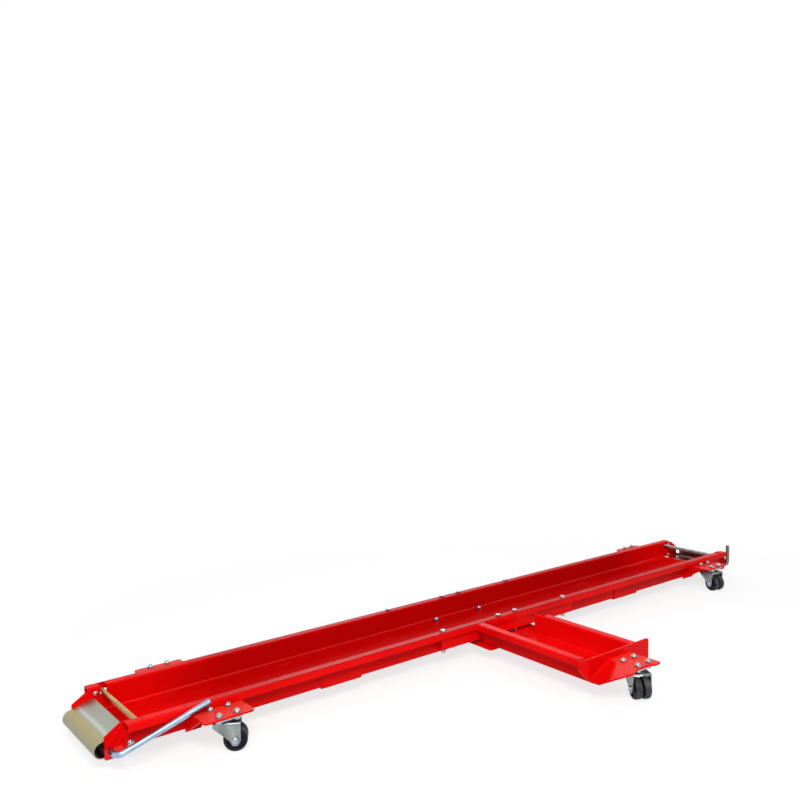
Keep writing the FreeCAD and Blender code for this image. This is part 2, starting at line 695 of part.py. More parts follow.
def tray_cap():
    # end plate; its front end is bent back past the tray lip and loses its lower corner
    inner = "-tray_end"
    bend = "(-tray_front + flange_width - sheet)"
    tip = "(-tray_front - wing_past)"
    far_end = "(-tray_front + cap_width)"
    upright = "(track_top - wing_depth)"
    flat = slab((bend, far_end), (inner + " - cap_sheet", inner), ("cap_bottom", "track_top"))
    corners = [
        (bend, inner),
        (tip, inner + " + wing_back"),
        (tip, inner + " + wing_back - cap_sheet"),
        (bend, inner + " - cap_sheet"),
    ]
    wing = outline("XY", corners, "cap_bottom", "track_top - cap_bottom")
    corners = [
        (tip + " - overrun", upright),
        (tip, upright),
        (bend, "cap_bottom"),
        (bend, "cap_bottom - overrun"),
        (tip + " - overrun", "cap_bottom - overrun"),
    ]
    below = outline("XZ", corners, inner + " - cap_sheet - overrun", "cap_sheet + wing_back + 2 * overrun")
    whole = cut_from(joined([flat, wing]), [below])
    places = (number(tip), number(far_end))

    def corner(edge):
        if not straight_along(edge, "y"):
            return False
        return min(abs(edge.Vertexes[0].Point.x - place) for place in places) < 1e-4

    node("tray_end_cap", rounded(whole, [(corner, mm("bracket_corner"))]))


def tray_bracket():
    # flat plate over the caster, its front part bent down into a skirt
    middle = "-tray_king"
    back_y = "(-tray_end - cap_sheet)"
    reach = back_y + " - tray_plate_reach"
    root = "%s - skirt_root" % middle
    front = "%s - tray_plate_front" % middle
    rear = "%s + tray_plate_rear" % middle
    plate = outline("XY", [(root, back_y), (rear, back_y), (rear, reach), (front, reach)],
                    bracket_under, "bracket_sheet")
    back = slab((root, rear), (back_y + " - bracket_sheet", back_y),
                ("bracket_top - tray_plate_drop", "bracket_top"))
    whole = joined([plate, back, skirt(root, front, back_y, reach)])
    outer = FreeCAD.Vector(number(rear), number(reach), mm("bracket_top"))

    def corner(edge):
        point = edge.Vertexes[0].Point
        return straight_along(edge, "z") and (point - outer).Length < mm("bracket_sheet") + 1e-4

    soft = rounded(whole, [(corner, mm("bracket_corner"))])
    hollow = ("-scallop_ahead", reach + " + scallop_depth - scallop_dia / 2", bracket_under + " - overrun")
    cuts = caster_plate_holes(middle, "-" + tray_king_y)
    cuts.append(pin("z", hollow, "bracket_sheet + 2 * overrun", "scallop_dia"))
    node("tray_bracket", cut_from(soft, cuts))


def skirt(root, front, back_y, reach):
    # sloping plate beyond the bend line from root to front, its height falling with the distance to it
    slope = math.radians(mm("skirt_fall"))
    start = (number(root), number(back_y))
    way = math.atan2(number(reach) - start[1], number(front) - start[0])

    def spot(x, y):
        off = (x - start[0]) * math.sin(way) - (y - start[1]) * math.cos(way)
        return FreeCAD.Vector(x, y, mm("bracket_top") - off * math.tan(slope))

    places = [
        start,
        (number(front), number(reach)),
        (number("-tray_king - skirt_front"), number(back_y + " - skirt_out")),
        (number("-tray_king - skirt_back"), start[1]),
    ]
    corners = [spot(x, y) for x, y in places]
    face = Part.Face(Part.makePolygon(corners + corners[:1]))
    return fixed_shape(face.extrude(FreeCAD.Vector(0, 0, -mm("bracket_sheet") / math.cos(slope))))


def tray_tongue():
    run = ("-tongue_middle - tongue_width / 2", "-tongue_middle + tongue_width / 2")
    bar = slab(run, ("-tongue_out", "tongue_in"), (track_under + " - tongue_sheet", track_under))

    def corner(edge):
        return straight_along(edge, "z")

    soft = rounded(bar, [(corner, mm("bracket_corner"))])
    holes = []
    for where in tongue_spots():
        holes += floor_holes(where)
    node("tray_tongue", cut_from(soft, holes))


def sunk_screw(x, y):
    # countersunk screw flush with the tray floor, its nut under the flat bar
    under = track_under + " - tongue_sheet"
    head = "(sheet - screw_sunk)"
    flare = cone((x, y, track_under), head, "bolt_dia", "(bolt_dia + 2 * %s)" % head)
    tail = "nut_height + bolt_tail"
    length = "%s + tongue_sheet + %s" % (tail, head)
    shank = pin("z", (x, y, "%s - (%s)" % (under, tail)), length, "bolt_dia")
    nut_low = under + " - nut_height"
    nut = cut_from(hexagon("z", (x, y, nut_low), "nut_height"),
                   [pin("z", (x, y, nut_low + " - overrun"), "nut_height + 2 * overrun", "bolt_dia")])
    return [joined([shank, flare]), nut]


def tray_bolts():
    pieces = []
    for where, spots in tongue_spots().items():
        for x, y in spots:
            if where == "tray":
                pieces += sunk_screw(x, y)
            else:
                pieces += upright_bolt(x, y, track_under + " - tongue_sheet", floor_top)
    node("tray_bolts", group(pieces))


casters = {
    "front_near": (caster_x("front"), side_y("near", king_y), "front_near_heading"),
    "front_far": (caster_x("front"), side_y("far", king_y), "front_far_heading"),
    "rear_near": (caster_x("rear"), side_y("near", king_y), "rear_near_heading"),
    "rear_far": (caster_x("rear"), side_y("far", king_y), "rear_far_heading"),
    "tray": ("-tray_king", "-" + tray_king_y, "tray_heading"),
}


def caster_bolts():
    pieces = []
    for x, y, heading in casters.values():
        for spot_x, spot_y in caster_spots(x, y):
            pieces += upright_bolt(spot_x, spot_y, bracket_under + " - caster_plate_sheet", "bracket_top")
    node("caster_bolts", group(pieces))


def caster_top(name):
    # square top plate with its ball race and riveted king pin, square to the bracket
    x, y, heading = casters[name]
    half = "caster_plate / 2"
    top = bracket_under
    low = top + " - caster_plate_sheet"
    run = ("%s - %s" % (x, half), "%s + %s" % (x, half))
    across = ("%s - %s" % (y, half), "%s + %s" % (y, half))
    plate = slab(run, across, (low, top))

    def corner(edge):
        return straight_along(edge, "z")

    square = cut_from(rounded(plate, [(corner, mm("caster_corner"))]), caster_plate_holes(x, y))
    race = cone((x, y, low + " - race_height"), "race_height", "race_lower_dia", "race_dia")
    crown_under = crown_top + " - fork_sheet"
    rise = "(%s) - (%s) + race_room" % (low, crown_under)
    king = pin("z", (x, y, crown_under + " - race_room"), rise, "king_dia")
    head = cone((x, y, crown_under + " - race_room - king_head"), "king_head", "king_dia", "king_head_dia")
    node(name + "_caster_plate", joined([square, race, king, head]))


def turned(thing, name):
    # casters are drawn with the king pin on the origin and the trail along +X, then turned
    x, y, heading = casters[name]
    place = FreeCAD.Vector(number(x), number(y) + mm("track_y"), 0)
    thing.Placement = FreeCAD.Placement(place, FreeCAD.Rotation(FreeCAD.Vector(0, 0, 1), mm(heading)))


def caster_node(label, thing, name):
    thing.Label = label
    turned(thing, name)
    nodes[label] = thing


axle_z = "(%s - fork_sheet - race_room - king_head - wheel_clear - wheel_dia / 2)" % crown_top
cheek_in = "fork_inside / 2"
cheek_out = "(fork_inside / 2 + fork_sheet)"


def fork(name):
    crown_low = "(%s - fork_sheet)" % crown_top
    crown = slab(("-fork_back", "trail + cheek_end"), ("-" + cheek_out, cheek_out), (crown_low, crown_top))
    cheeks = []
    for start in ("-" + cheek_out, cheek_in):
        corners = [
            ("-fork_back", crown_top),
            ("trail + cheek_end", crown_top),
            ("trail + cheek_end", axle_z),
            ("trail + cheek_end / 2", axle_z + " - cheek_end"),
            ("trail - cheek_end / 2", axle_z + " - cheek_end"),
            ("trail - cheek_end", axle_z),
            ("-fork_back", crown_top + " - cheek_drop"),
        ]
        cheeks.append(outline("XZ", corners, start, "fork_sheet"))
    yoke = joined([crown] + cheeks)
    across = ("-%s - overrun" % cheek_out, "2 * %s + 2 * overrun" % cheek_out)
    depth = "fork_sheet + 2 * overrun"
    drilled = cut_from(yoke, [
        pin("z", ("0", "0", crown_low + " - overrun"), depth, "king_dia + 2 * king_room"),
        pin("y", ("trail", across[0], axle_z), across[1], "axle_dia"),
    ])

    def fold(edge):
        if not straight_along(edge, "x"):
            return False
        point = edge.Vertexes[0].Point
        return abs(abs(point.y) - number(cheek_out)) < 1e-4 and abs(point.z - number(crown_top)) < 1e-4

    def foot(edge):
        return straight_along(edge, "y") and edge.Vertexes[0].Point.z < number(axle_z) - mm("cheek_end") / 2

    picks = [(fold, mm("fork_sheet")), (foot, mm("cheek_end") / 2)]
    caster_node(name + "_fork", rounded(drilled, picks), name)


def axle(name):
    shank = pin("y", ("trail", "-" + cheek_out, axle_z), "2 * " + cheek_out, "axle_dia")
    head = pin("y", ("trail", "-%s - axle_head" % cheek_out, axle_z), "axle_head", "axle_head_dia")
    tail = pin("y", ("trail", cheek_out, axle_z), "axle_head", "axle_head_dia")
    whole = joined([shank, head, tail])
    doc.recompute()

    def rim(edge):
        point = edge.Vertexes[0].Point
        return abs(abs(point.y) - number(cheek_out + " + axle_head")) < 1e-4

    caster_node(name + "_axle", rounded(whole, [(rim, mm("axle_head") / 2)]), name)


def wheel(name, which):
    # moulded wheel with rounded tread edges and a dished outer face around a boss
    low = "wheel_gap / 2" if which == "outer" else "-wheel_gap / 2 - wheel_width"
    tyre = pin("y", ("trail", low, axle_z), "wheel_width", "wheel_dia")

    def rim(edge):
        return isinstance(edge.Curve, Part.Circle)

    disc = rounded(tyre, [(rim, mm("wheel_edge"))])
    face = "%s + wheel_width - hub_recess" % low if which == "outer" else low
    boss = pin("y", ("trail", "%s - overrun" % face, axle_z), "hub_recess + 2 * overrun", "hub_boss_dia")
    ring = cut_from(pin("y", ("trail", face, axle_z), "hub_recess", "hub_recess_dia"), [boss])
    past = ("trail", "%s - overrun" % low, axle_z)
    bore = pin("y", past, "wheel_width + 2 * overrun", "axle_dia + 2 * axle_room")
    caster_node("%s_wheel_%s" % (name, which), cut_from(disc, [ring, bore]), name)


def side_plate(end, side):
    corners = [
        ("side_tail", "side_top"),
        ("-side_brow", "side_top"),
        ("-side_nose", "side_shoulder"),
        ("-side_nose", "side_bottom"),
        ("-side_heel", "side_bottom"),
        ("pivot_in", "side_lug"),
        ("side_tail", "side_lug"),
    ]
    low = span_y(side, side_in, side_out)[0]
    plate = outline("XZ", [(end_x(end, u), v) for u, v in corners], low, "cheek_sheet")

    def corner(edge):
        return straight_along(edge, "y")

    soft = rounded(plate, [(corner, mm("side_corner"))])
    across = (low + " - overrun", "cheek_sheet + 2 * overrun")
    node("%s_ramp_%s_plate" % (end, side), cut_from(soft, [
        pin("y", (end_x(end, "pivot_in"), across[0], "pivot_rise"), across[1], "bolt_dia + 2 * axle_room"),
        pin("y", (end_x(end, "stop_in"), across[0], "stop_rise"), across[1], hole_dia),
        pin("y", (end_x(end, "-bar_ahead"), across[0], "bar_rise"), across[1], "bar_dia"),
    ]))


def flap(end):
    # rolled sheet: crowned top, round nose and a flat return underneath, as one bent strip
    out = -1 if end == "front" else 1
    base = out * mm("track_length") / 2
    sheet = mm("flap_sheet")
    roll = mm("flap_roll")
    half = number(side_in)

    def spot(ahead, rise):
        return FreeCAD.Vector(base + out * ahead, -half, rise)

    tail = (-mm("flap_tail_in"), mm("flap_tail_rise"))
    middle = (mm("flap_reach") - roll, mm("flap_under") + roll)
    slope = math.atan2(tail[1] - middle[1], middle[0] - tail[0])
    reach = math.hypot(tail[1] - middle[1], middle[0] - tail[0])
    lean = math.asin(roll / reach) - slope
    touch = (middle[0] - roll * math.sin(lean), middle[1] + roll * math.cos(lean))

    def rim(radius, turn):
        return spot(middle[0] + radius * math.sin(turn), middle[1] + radius * math.cos(turn))

    def side_line(inset):
        radius = roll - inset
        off = (inset * math.sin(lean), inset * math.cos(lean))
        return [
            spot(tail[0] + off[0], tail[1] - off[1]),
            spot(touch[0] + off[0], touch[1] - off[1]),
            rim(radius, math.pi / 2),
            spot(middle[0], middle[1] - radius),
            spot(mm("flap_return"), middle[1] - radius),
        ]

    outer = side_line(0.0)
    inner = side_line(sheet)
    edges = [
        Part.LineSegment(outer[0], outer[1]).toShape(),
        Part.Arc(outer[1], outer[2], outer[3]).toShape(),
        Part.LineSegment(outer[3], outer[4]).toShape(),
        Part.LineSegment(outer[4], inner[4]).toShape(),
        Part.LineSegment(inner[4], inner[3]).toShape(),
        Part.Arc(inner[3], inner[2], inner[1]).toShape(),
        Part.LineSegment(inner[1], inner[0]).toShape(),
        Part.LineSegment(inner[0], outer[0]).toShape(),
    ]
    face = Part.Face(Part.Wire(edges))
    node(end + "_ramp_flap", fixed_shape(face.extrude(FreeCAD.Vector(0, 2 * half, 0))))


def bent_bar(end, arm_y, tip):
    # round bar: cross leg through both side plates, one bend, then the arm up to its tip
    radius = mm("bar_dia") / 2
    corner = FreeCAD.Vector(number(end_x(end, "-bar_ahead")), arm_y, mm("bar_rise"))
    start = FreeCAD.Vector(corner.x, number(side_out) + mm("bar_end"), corner.z)
    first = (corner - start).normalize()
    second = (tip - corner).normalize()
    turn = first.getAngle(second)
    cut_back = mm("bar_bend") * math.tan(turn / 2)
    leave = corner - first * cut_back
    enter = corner + second * cut_back
    inward = (second - first).normalize()
    centre = corner + inward * (mm("bar_bend") / math.cos(turn / 2))
    crest = centre - inward * mm("bar_bend")
    path = Part.Wire([
        Part.LineSegment(start, leave).toShape(),
        Part.Arc(leave, crest, enter).toShape(),
        Part.LineSegment(enter, tip).toShape(),
    ])
    ring = Part.Wire([Part.Circle(start, first, radius).toShape()])
    bar = path.makePipeShell([ring], True, False)
    size = mm("bar_chamfer")
    rims = []
    for edge in bar.Edges:
        if not isinstance(edge.Curve, Part.Circle) or abs(edge.Curve.Radius - radius) > 1e-6:
            continue
        if min((edge.Curve.Center - start).Length, (edge.Curve.Center - tip).Length) < 1e-4:
            rims.append(edge)
    return bar.makeChamfer(size, rims)


def lever(end):
    if end == "front":
        tip = FreeCAD.Vector(number(end_x(end, "lever_tip_in")), -mm("lever_out"), mm("lever_tip_rise"))
        shape = bent_bar(end, -mm("lever_out"), tip)
    else:
        tip = FreeCAD.Vector(number(end_x(end, "-bar_ahead")), -mm("handle_out"), mm("handle_top"))
        shape = bent_bar(end, -mm("handle_out"), tip)
    node(end + "_ramp_lever", fixed_shape(shape))


def ramp_bolts(end):
    pivots = []
    stops = []
    for side in sides:
        pivots += cross_bolt(end_x(end, "pivot_in"), "pivot_rise", side, side_in, wall_out)
        stops += cross_bolt(end_x(end, "stop_in"), "stop_rise", side, side_in, wall_out + " + stop_room")
    node(end + "_pivot_bolts", group(pivots))
    node(end + "_stop_bolts", group(stops))


def lock_rod(end):
    # round bar with the cross pin that keeps it in the wall and that it tilts on
    held = "near" if end == "front" else "far"
    low = "-rod_lead" if held == "near" else "rod_lead - rod_length"
    bar = pin("y", (end_x(end, "rod_in"), low, "rod_rise"), "rod_length", "rod_dia")
    tidy = doc.addObject("Part::Chamfer", "tidy")
    doc.recompute()
    tidy.Base = bar
    size = mm("bar_chamfer")
    rims = []
    for index, edge in enumerate(bar.Shape.Edges, start=1):
        if isinstance(edge.Curve, Part.Circle):
            rims.append((index, size, size))
    tidy.Edges = rims
    pin_y = side_y(held, "(%s + rod_pin_out)" % wall_out)
    start = (end_x(end, "rod_in") + " - rod_pin_length / 2", pin_y, "rod_rise")
    drilled = cut_from(tidy, [pin("x", start, "rod_pin_length", "rod_pin_dia")])
    node(end + "_lock_rod", group([drilled, pin("x", start, "rod_pin_length", "rod_pin_dia")]))


for end in ends:
    channel(end)
    strap(end)
    for side in sides:
        bracket(end, side)
        side_plate(end, side)
    flap(end)
    lever(end)
    ramp_bolts(end)
    lock_rod(end)
for side in sides:
    splice_rail(side)
splice_bolts()
tray()
tray_cap()
tray_bracket()
tray_tongue()
tray_bolts()
caster_bolts()
for name in casters:
    caster_top(name)
    fork(name)
    axle(name)
    for which in ("inner", "outer"):
        wheel(name, which)

doc.recompute()
broken = [item.Name for item in doc.Objects if "Invalid" in item.State or "Error" in item.State]
if broken:
    raise RuntimeError("failed objects: " + ", ".join(broken))
for label, thing in nodes.items():
    if thing.Shape.isNull() or not thing.Shape.isValid():
        raise RuntimeError("bad shape: " + label)

os.makedirs("parts", exist_ok=True)
for label, thing in nodes.items():
    thing.Shape.exportStep("parts/%s.step" % label)

box = FreeCAD.BoundBox()
for thing in nodes.values():
    box.add(thing.Shape.optimalBoundingBox())
print("%d nodes, %.1f to %.1f by %.1f to %.1f by %.1f to %.1f mm" % (
    len(nodes), box.XMin, box.XMax, box.YMin, box.YMax, box.ZMin, box.ZMax))
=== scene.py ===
import json
import math

import bmesh
import bpy
import numpy as np
from mathutils import Matrix, Vector


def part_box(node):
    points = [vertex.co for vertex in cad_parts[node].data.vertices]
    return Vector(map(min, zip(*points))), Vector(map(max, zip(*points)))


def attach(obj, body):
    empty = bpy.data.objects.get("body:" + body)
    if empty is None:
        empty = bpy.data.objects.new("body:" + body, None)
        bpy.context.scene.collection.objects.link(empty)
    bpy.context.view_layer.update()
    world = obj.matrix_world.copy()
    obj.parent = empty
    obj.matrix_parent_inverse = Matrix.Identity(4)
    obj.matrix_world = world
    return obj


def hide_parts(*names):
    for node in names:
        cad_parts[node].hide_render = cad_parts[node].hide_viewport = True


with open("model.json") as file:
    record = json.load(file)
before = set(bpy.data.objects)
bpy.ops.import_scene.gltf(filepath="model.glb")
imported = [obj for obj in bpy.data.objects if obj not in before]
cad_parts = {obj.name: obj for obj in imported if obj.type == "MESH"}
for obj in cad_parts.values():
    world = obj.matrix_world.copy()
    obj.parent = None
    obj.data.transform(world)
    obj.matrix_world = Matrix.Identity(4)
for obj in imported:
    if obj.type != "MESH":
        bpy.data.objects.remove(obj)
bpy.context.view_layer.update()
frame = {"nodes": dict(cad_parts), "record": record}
nodes = frame["nodes"]
scene = bpy.context.scene
scene.view_settings.view_transform = "Standard"
print("frame loaded:", len(nodes), "nodes")

trackY = 0.1968  # centre line of the track in the dolly's frame
trackEnd = 1.06  # each end of the track from the middle


def hexLinear(text):
    # sRGB hex to linear, with alpha
    srgb = np.array([int(text[i:i + 2], 16) for i in (1, 3, 5)]) / 255
    linear = np.where(srgb <= 0.04045, srgb / 12.92, ((srgb + 0.055) / 1.055) ** 2.4)
    return (*linear.tolist(), 1.0)


def addNode(tree, kind, settings=None, links=None):
    # one node, its settings by socket or property, its links by socket
    node = tree.nodes.new(kind)
    for key, value in (settings or {}).items():
        if isinstance(key, int) or key in node.inputs:
            node.inputs[key].default_value = value
        else:
            setattr(node, key, value)
    for key, source in (links or {}).items():
        tree.links.new(source, node.inputs[key])
    return node


def perMm(size):
    return 1000 / size  # texture scale for a pattern that many millimetres wide


def startMaterial(name):
    material = bpy.data.materials.new(name)
    material.use_nodes = True
    material.node_tree.nodes.clear()
    return material, material.node_tree


def setRamp(node, stops):
    # colour stops of a Color Ramp, as (place, hex)
    ramp = node.color_ramp
    while len(ramp.elements) < len(stops):
        ramp.elements.new(0.5)
    for element, (place, colour) in zip(ramp.elements, stops):
        element.position = place
        element.color = hexLinear(colour)
    return node.outputs["Color"]


# Powder coat on folded steel: a soft gloss with orange peel, rounded over sharp edges. Use scuffs the
# floors, and inside the track the coat is painted a deeper red as painted shade and has hardly any shine
coatLook = {
    "paint": "#ec0808",
    "deep": "#dc0505",
    "toneMm": 130.0,
    "toneAt": (0.3, 0.6),
    # painted shade: the deeper red that darkens the inside of the track and its flanges
    "paintedShade": "#b80404",
    "paintedShadeShare": 0.9,
    "scuff": "#d8584e",
    "scuffed": 0.55,
    "scuffMm": 110.0,            # length of the streaks
    "scuffDraw": 7.0,            # and how many times narrower they are
    "scuffAt": (0.6, 0.74),
    "dust": "#e88c6c",           # fine dust on the bracket tops
    "dusted": 0.36,
    "dustMm": 1.6,               # real dust is finer, drawn coarser so that it shows
    "dustAt": (0.42, 0.68),
    "dustUpM": 0.077,
    "dustWithinM": 0.0004,
    "dustFacing": 0.9,
    "gloss": 0.055,
    "dull": 0.006,
    "foldGloss": 0.3,            # the folds beside the floor are rubbed bright
    "roughMm": 45.0,
    "rough": (0.24, 0.4),
    "peelMm": 5.0,               # real peel is 1 to 2 mm, drawn coarser so that it shows
    "peelBump": (0.25, 0.0001),  # strength, and height in metres
    "waveMm": 90.0,              # slow waves of the folded sheet
    "waveBump": (0.5, 0.0012),
    "edgeMm": 0.9,               # coat thickness rounds the cut edges
}
# where the coat changes, in metres: nothing at the first place, full at the second
coatMasks = {
    "between": (1.0, 0.75),      # painted shade fades out towards the ramps
    "inside": (0.1028, 0.1022),  # painted shade and dullness end in the walls, from the centre line
    "inLips": (0.1265, 0.126),   # on the flanges the painted shade goes out to the lips
    "onTop": (0.0915, 0.0925),
    "foldOut": (0.0965, 0.0975),
    "foldUp": (0.0465, 0.0455),
    "onFloor": (0.0426, 0.0418),
}


def powderCoat(name, look):
    material, tree = startMaterial(name)
    sheet = addNode(tree, "ShaderNodeTexCoord")
    place = sheet.outputs["Object"]
    spot = addNode(tree, "ShaderNodeSeparateXYZ", links={"Vector": place}).outputs
    height = spot["Z"]
    offset = addNode(tree, "ShaderNodeMath", {"operation": "SUBTRACT", 1: trackY}, {0: spot["Y"]})
    across = addNode(tree, "ShaderNodeMath", {"operation": "ABSOLUTE"}, {0: offset.outputs[0]}).outputs[0]
    along = addNode(tree, "ShaderNodeMath", {"operation": "ABSOLUTE"}, {0: spot["X"]}).outputs[0]
    mask = {}
    for key, source in (("between", along), ("inside", across), ("inLips", across), ("onTop", height),
                        ("foldOut", across), ("foldUp", height), ("onFloor", height)):
        zero, one = coatMasks[key]
        mask[key] = addNode(tree, "ShaderNodeMapRange", {"From Min": zero, "From Max": one},
                            {"Value": source}).outputs["Result"]
    tone = addNode(tree, "ShaderNodeTexNoise", {"Scale": perMm(look["toneMm"]), "Detail": 3},
                   {"Vector": place})
    colour = setRamp(addNode(tree, "ShaderNodeValToRGB", links={"Fac": tone.outputs["Fac"]}),
                     list(zip(look["toneAt"], (look["deep"], look["paint"]))))
    # painted shade: a deeper red inside the walls and on the flanges, between the ramps
    flange = addNode(tree, "ShaderNodeMath", {"operation": "MULTIPLY"},
                     {0: mask["inLips"], 1: mask["onTop"]})
    either = addNode(tree, "ShaderNodeMath", {"operation": "MAXIMUM"},
                     {0: mask["inside"], 1: flange.outputs[0]})
    paintedShadeArea = addNode(tree, "ShaderNodeMath", {"operation": "MULTIPLY"},
                     {0: either.outputs[0], 1: mask["between"]})
    paintedShadeShare = addNode(tree, "ShaderNodeMath", {"operation": "MULTIPLY", 1: look["paintedShadeShare"]},
                     {0: paintedShadeArea.outputs[0]})
    # scuffs: streaks drawn out along the track, only on the track floor and the tray floor
    streakPlace = addNode(tree, "ShaderNodeMapping",
                          {"Scale": (1, look["scuffDraw"], look["scuffDraw"])}, {"Vector": place})
    streak = addNode(tree, "ShaderNodeTexNoise",
                     {"Scale": perMm(look["scuffMm"]), "Detail": 8, "Roughness": 0.7},
                     {"Vector": streakPlace.outputs["Vector"]})
    worn = addNode(tree, "ShaderNodeMapRange",
                   {"From Min": look["scuffAt"][0], "From Max": look["scuffAt"][1],
                    "To Max": look["scuffed"]}, {"Value": streak.outputs["Fac"]})
    scuffed = addNode(tree, "ShaderNodeMath", {"operation": "MULTIPLY"},
                      {0: mask["onFloor"], 1: worn.outputs["Result"]})
    # dust: specks on faces that look up at the height of the bracket tops
    level = addNode(tree, "ShaderNodeMath",
                    {"operation": "COMPARE", 1: look["dustUpM"], 2: look["dustWithinM"]}, {0: height})
    facing = addNode(tree, "ShaderNodeSeparateXYZ", links={"Vector": sheet.outputs["Normal"]})
    upward = addNode(tree, "ShaderNodeMath", {"operation": "GREATER_THAN", 1: look["dustFacing"]},
                     {0: facing.outputs["Z"]})
    ledge = addNode(tree, "ShaderNodeMath", {"operation": "MULTIPLY"},
                    {0: level.outputs[0], 1: upward.outputs[0]})
    grain = addNode(tree, "ShaderNodeTexNoise", {"Scale": perMm(look["dustMm"]), "Detail": 2},
                    {"Vector": place})
    speck = addNode(tree, "ShaderNodeMapRange",
                    {"From Min": look["dustAt"][0], "From Max": look["dustAt"][1],
                     "To Max": look["dusted"]}, {"Value": grain.outputs["Fac"]})
    dusted = addNode(tree, "ShaderNodeMath", {"operation": "MULTIPLY"},
                     {0: ledge.outputs[0], 1: speck.outputs["Result"]})
    # the painted shade darkens the red; the scuffs and the dust are the coat's own marks
    for layer, share in (("paintedShade", paintedShadeShare), ("scuff", scuffed), ("dust", dusted)):
        colour = addNode(tree, "ShaderNodeMix", {"data_type": "RGBA", 7: hexLinear(look[layer])},
                         {0: share.outputs[0], 6: colour}).outputs[2]
    # shine: dull inside the track, bright along its folds
    plain = addNode(tree, "ShaderNodeMapRange", {"To Min": look["gloss"], "To Max": look["dull"]},
                    {"Value": mask["inside"]})
    fold = addNode(tree, "ShaderNodeMath", {"operation": "MULTIPLY"},
                   {0: mask["foldOut"], 1: mask["foldUp"]})
    rubbed = addNode(tree, "ShaderNodeMath", {"operation": "MULTIPLY"},
                     {0: fold.outputs[0], 1: mask["inside"]})
    gloss = addNode(tree, "ShaderNodeMix", {3: look["foldGloss"]},
                    {0: rubbed.outputs[0], 2: plain.outputs["Result"]})
    patch = addNode(tree, "ShaderNodeTexNoise", {"Scale": perMm(look["roughMm"]), "Detail": 4},
                    {"Vector": place})
    rough = addNode(tree, "ShaderNodeMapRange", {"To Min": look["rough"][0], "To Max": look["rough"][1]},
                    {"Value": patch.outputs["Fac"]})
    edge = addNode(tree, "ShaderNodeBevel", {"samples": 4, "Radius": look["edgeMm"] / 1000})
    normal = edge.outputs["Normal"]
    for layer in ("wave", "peel"):
        swell = addNode(tree, "ShaderNodeTexNoise", {"Scale": perMm(look[layer + "Mm"]), "Detail": 1},
                        {"Vector": place})
        strength, high = look[layer + "Bump"]
        normal = addNode(tree, "ShaderNodeBump", {"Strength": strength, "Distance": high},
                         {"Height": swell.outputs["Fac"], "Normal": normal}).outputs["Normal"]
    shader = addNode(tree, "ShaderNodeBsdfPrincipled", {"IOR": 1.5},
                     {"Base Color": colour, "Roughness": rough.outputs["Result"],
                      "Specular IOR Level": gloss.outputs[0], "Normal": normal})
    addNode(tree, "ShaderNodeOutputMaterial", links={"Surface": shader.outputs["BSDF"]})
    return material


# Zinc plated steel: a cold metal with cloudy tone, drawn or rolled lines along one axis, coarser than the
# real ones so that they show; the passivated sheet has bands left by the bath, each at its distance in
# millimetres from the middle of the dolly
zincLooks = {
    "bright zinc plate": {
        "tones": ("#7a858f", "#a9b4bd", "#cfd8de"), "lineMm": (60, 1.6, 1.6),
        "rough": (0.2, 0.36), "relief": 0.2},
    "bright zinc drawn bar": {
        "tones": ("#86a1bd", "#9cb7d2", "#b3cbe1"), "lineMm": (80, 2.5, 2.5),
        "rough": (0.24, 0.34), "relief": 0.05},
    # painted shade: a darker, rougher copy of the drawn bar, for the rear lever
    "shaded zinc drawn bar": {
        "tones": ("#716d60", "#86816f", "#9a9584"), "lineMm": (80, 2.5, 2.5),
        "rough": (0.34, 0.46), "relief": 0.05},
    "passivated zinc sheet": {
        "tones": ("#8f978c", "#b3b6a4"), "lineMm": (1.2, 160, 1.2),
        "rough": (0.34, 0.48), "relief": 0.12,
        "bands": ((1066, "#a4ab9f"), (1078, "#a9afa2"), (1086, "#ccd8d6"), (1092, "#a9ab92"),
                  (1098, "#b8a76c"), (1110, "#ae9e68"), (1115, "#a5996f"), (1117, "#8d8a76"))},
    "yellow zinc drawn rod": {
        "tones": ("#8f7748", "#b79f66", "#cdb983"), "lineMm": (3, 90, 3),
        "rough": (0.28, 0.42), "relief": 0.15},
    "satin zinc caster steel": {
        "tones": ("#77807f", "#8d9694", "#a6afac"), "lineMm": (11, 11, 60),
        "rough": (0.28, 0.4), "relief": 0.05},
}
zincBase = {"cloudMm": 28, "drawnShare": 0.6, "tonesAt": (0.34, 0.66), "reliefM": 0.0002,
            "bandShare": 0.72, "stainM": 0.008}
# the inside of each roll is painted, on faces that look towards the roll's axis: near black at the front,
# as painted shade of the hollow, and a dull red at the rear, as a painted reflection of the red track
hollow = {"outM": 1.1, "upM": 0.044, "insideM": -0.0005, "paintedHollowShade": "#14181b", "paintedRedReflection": "#b05a52"}


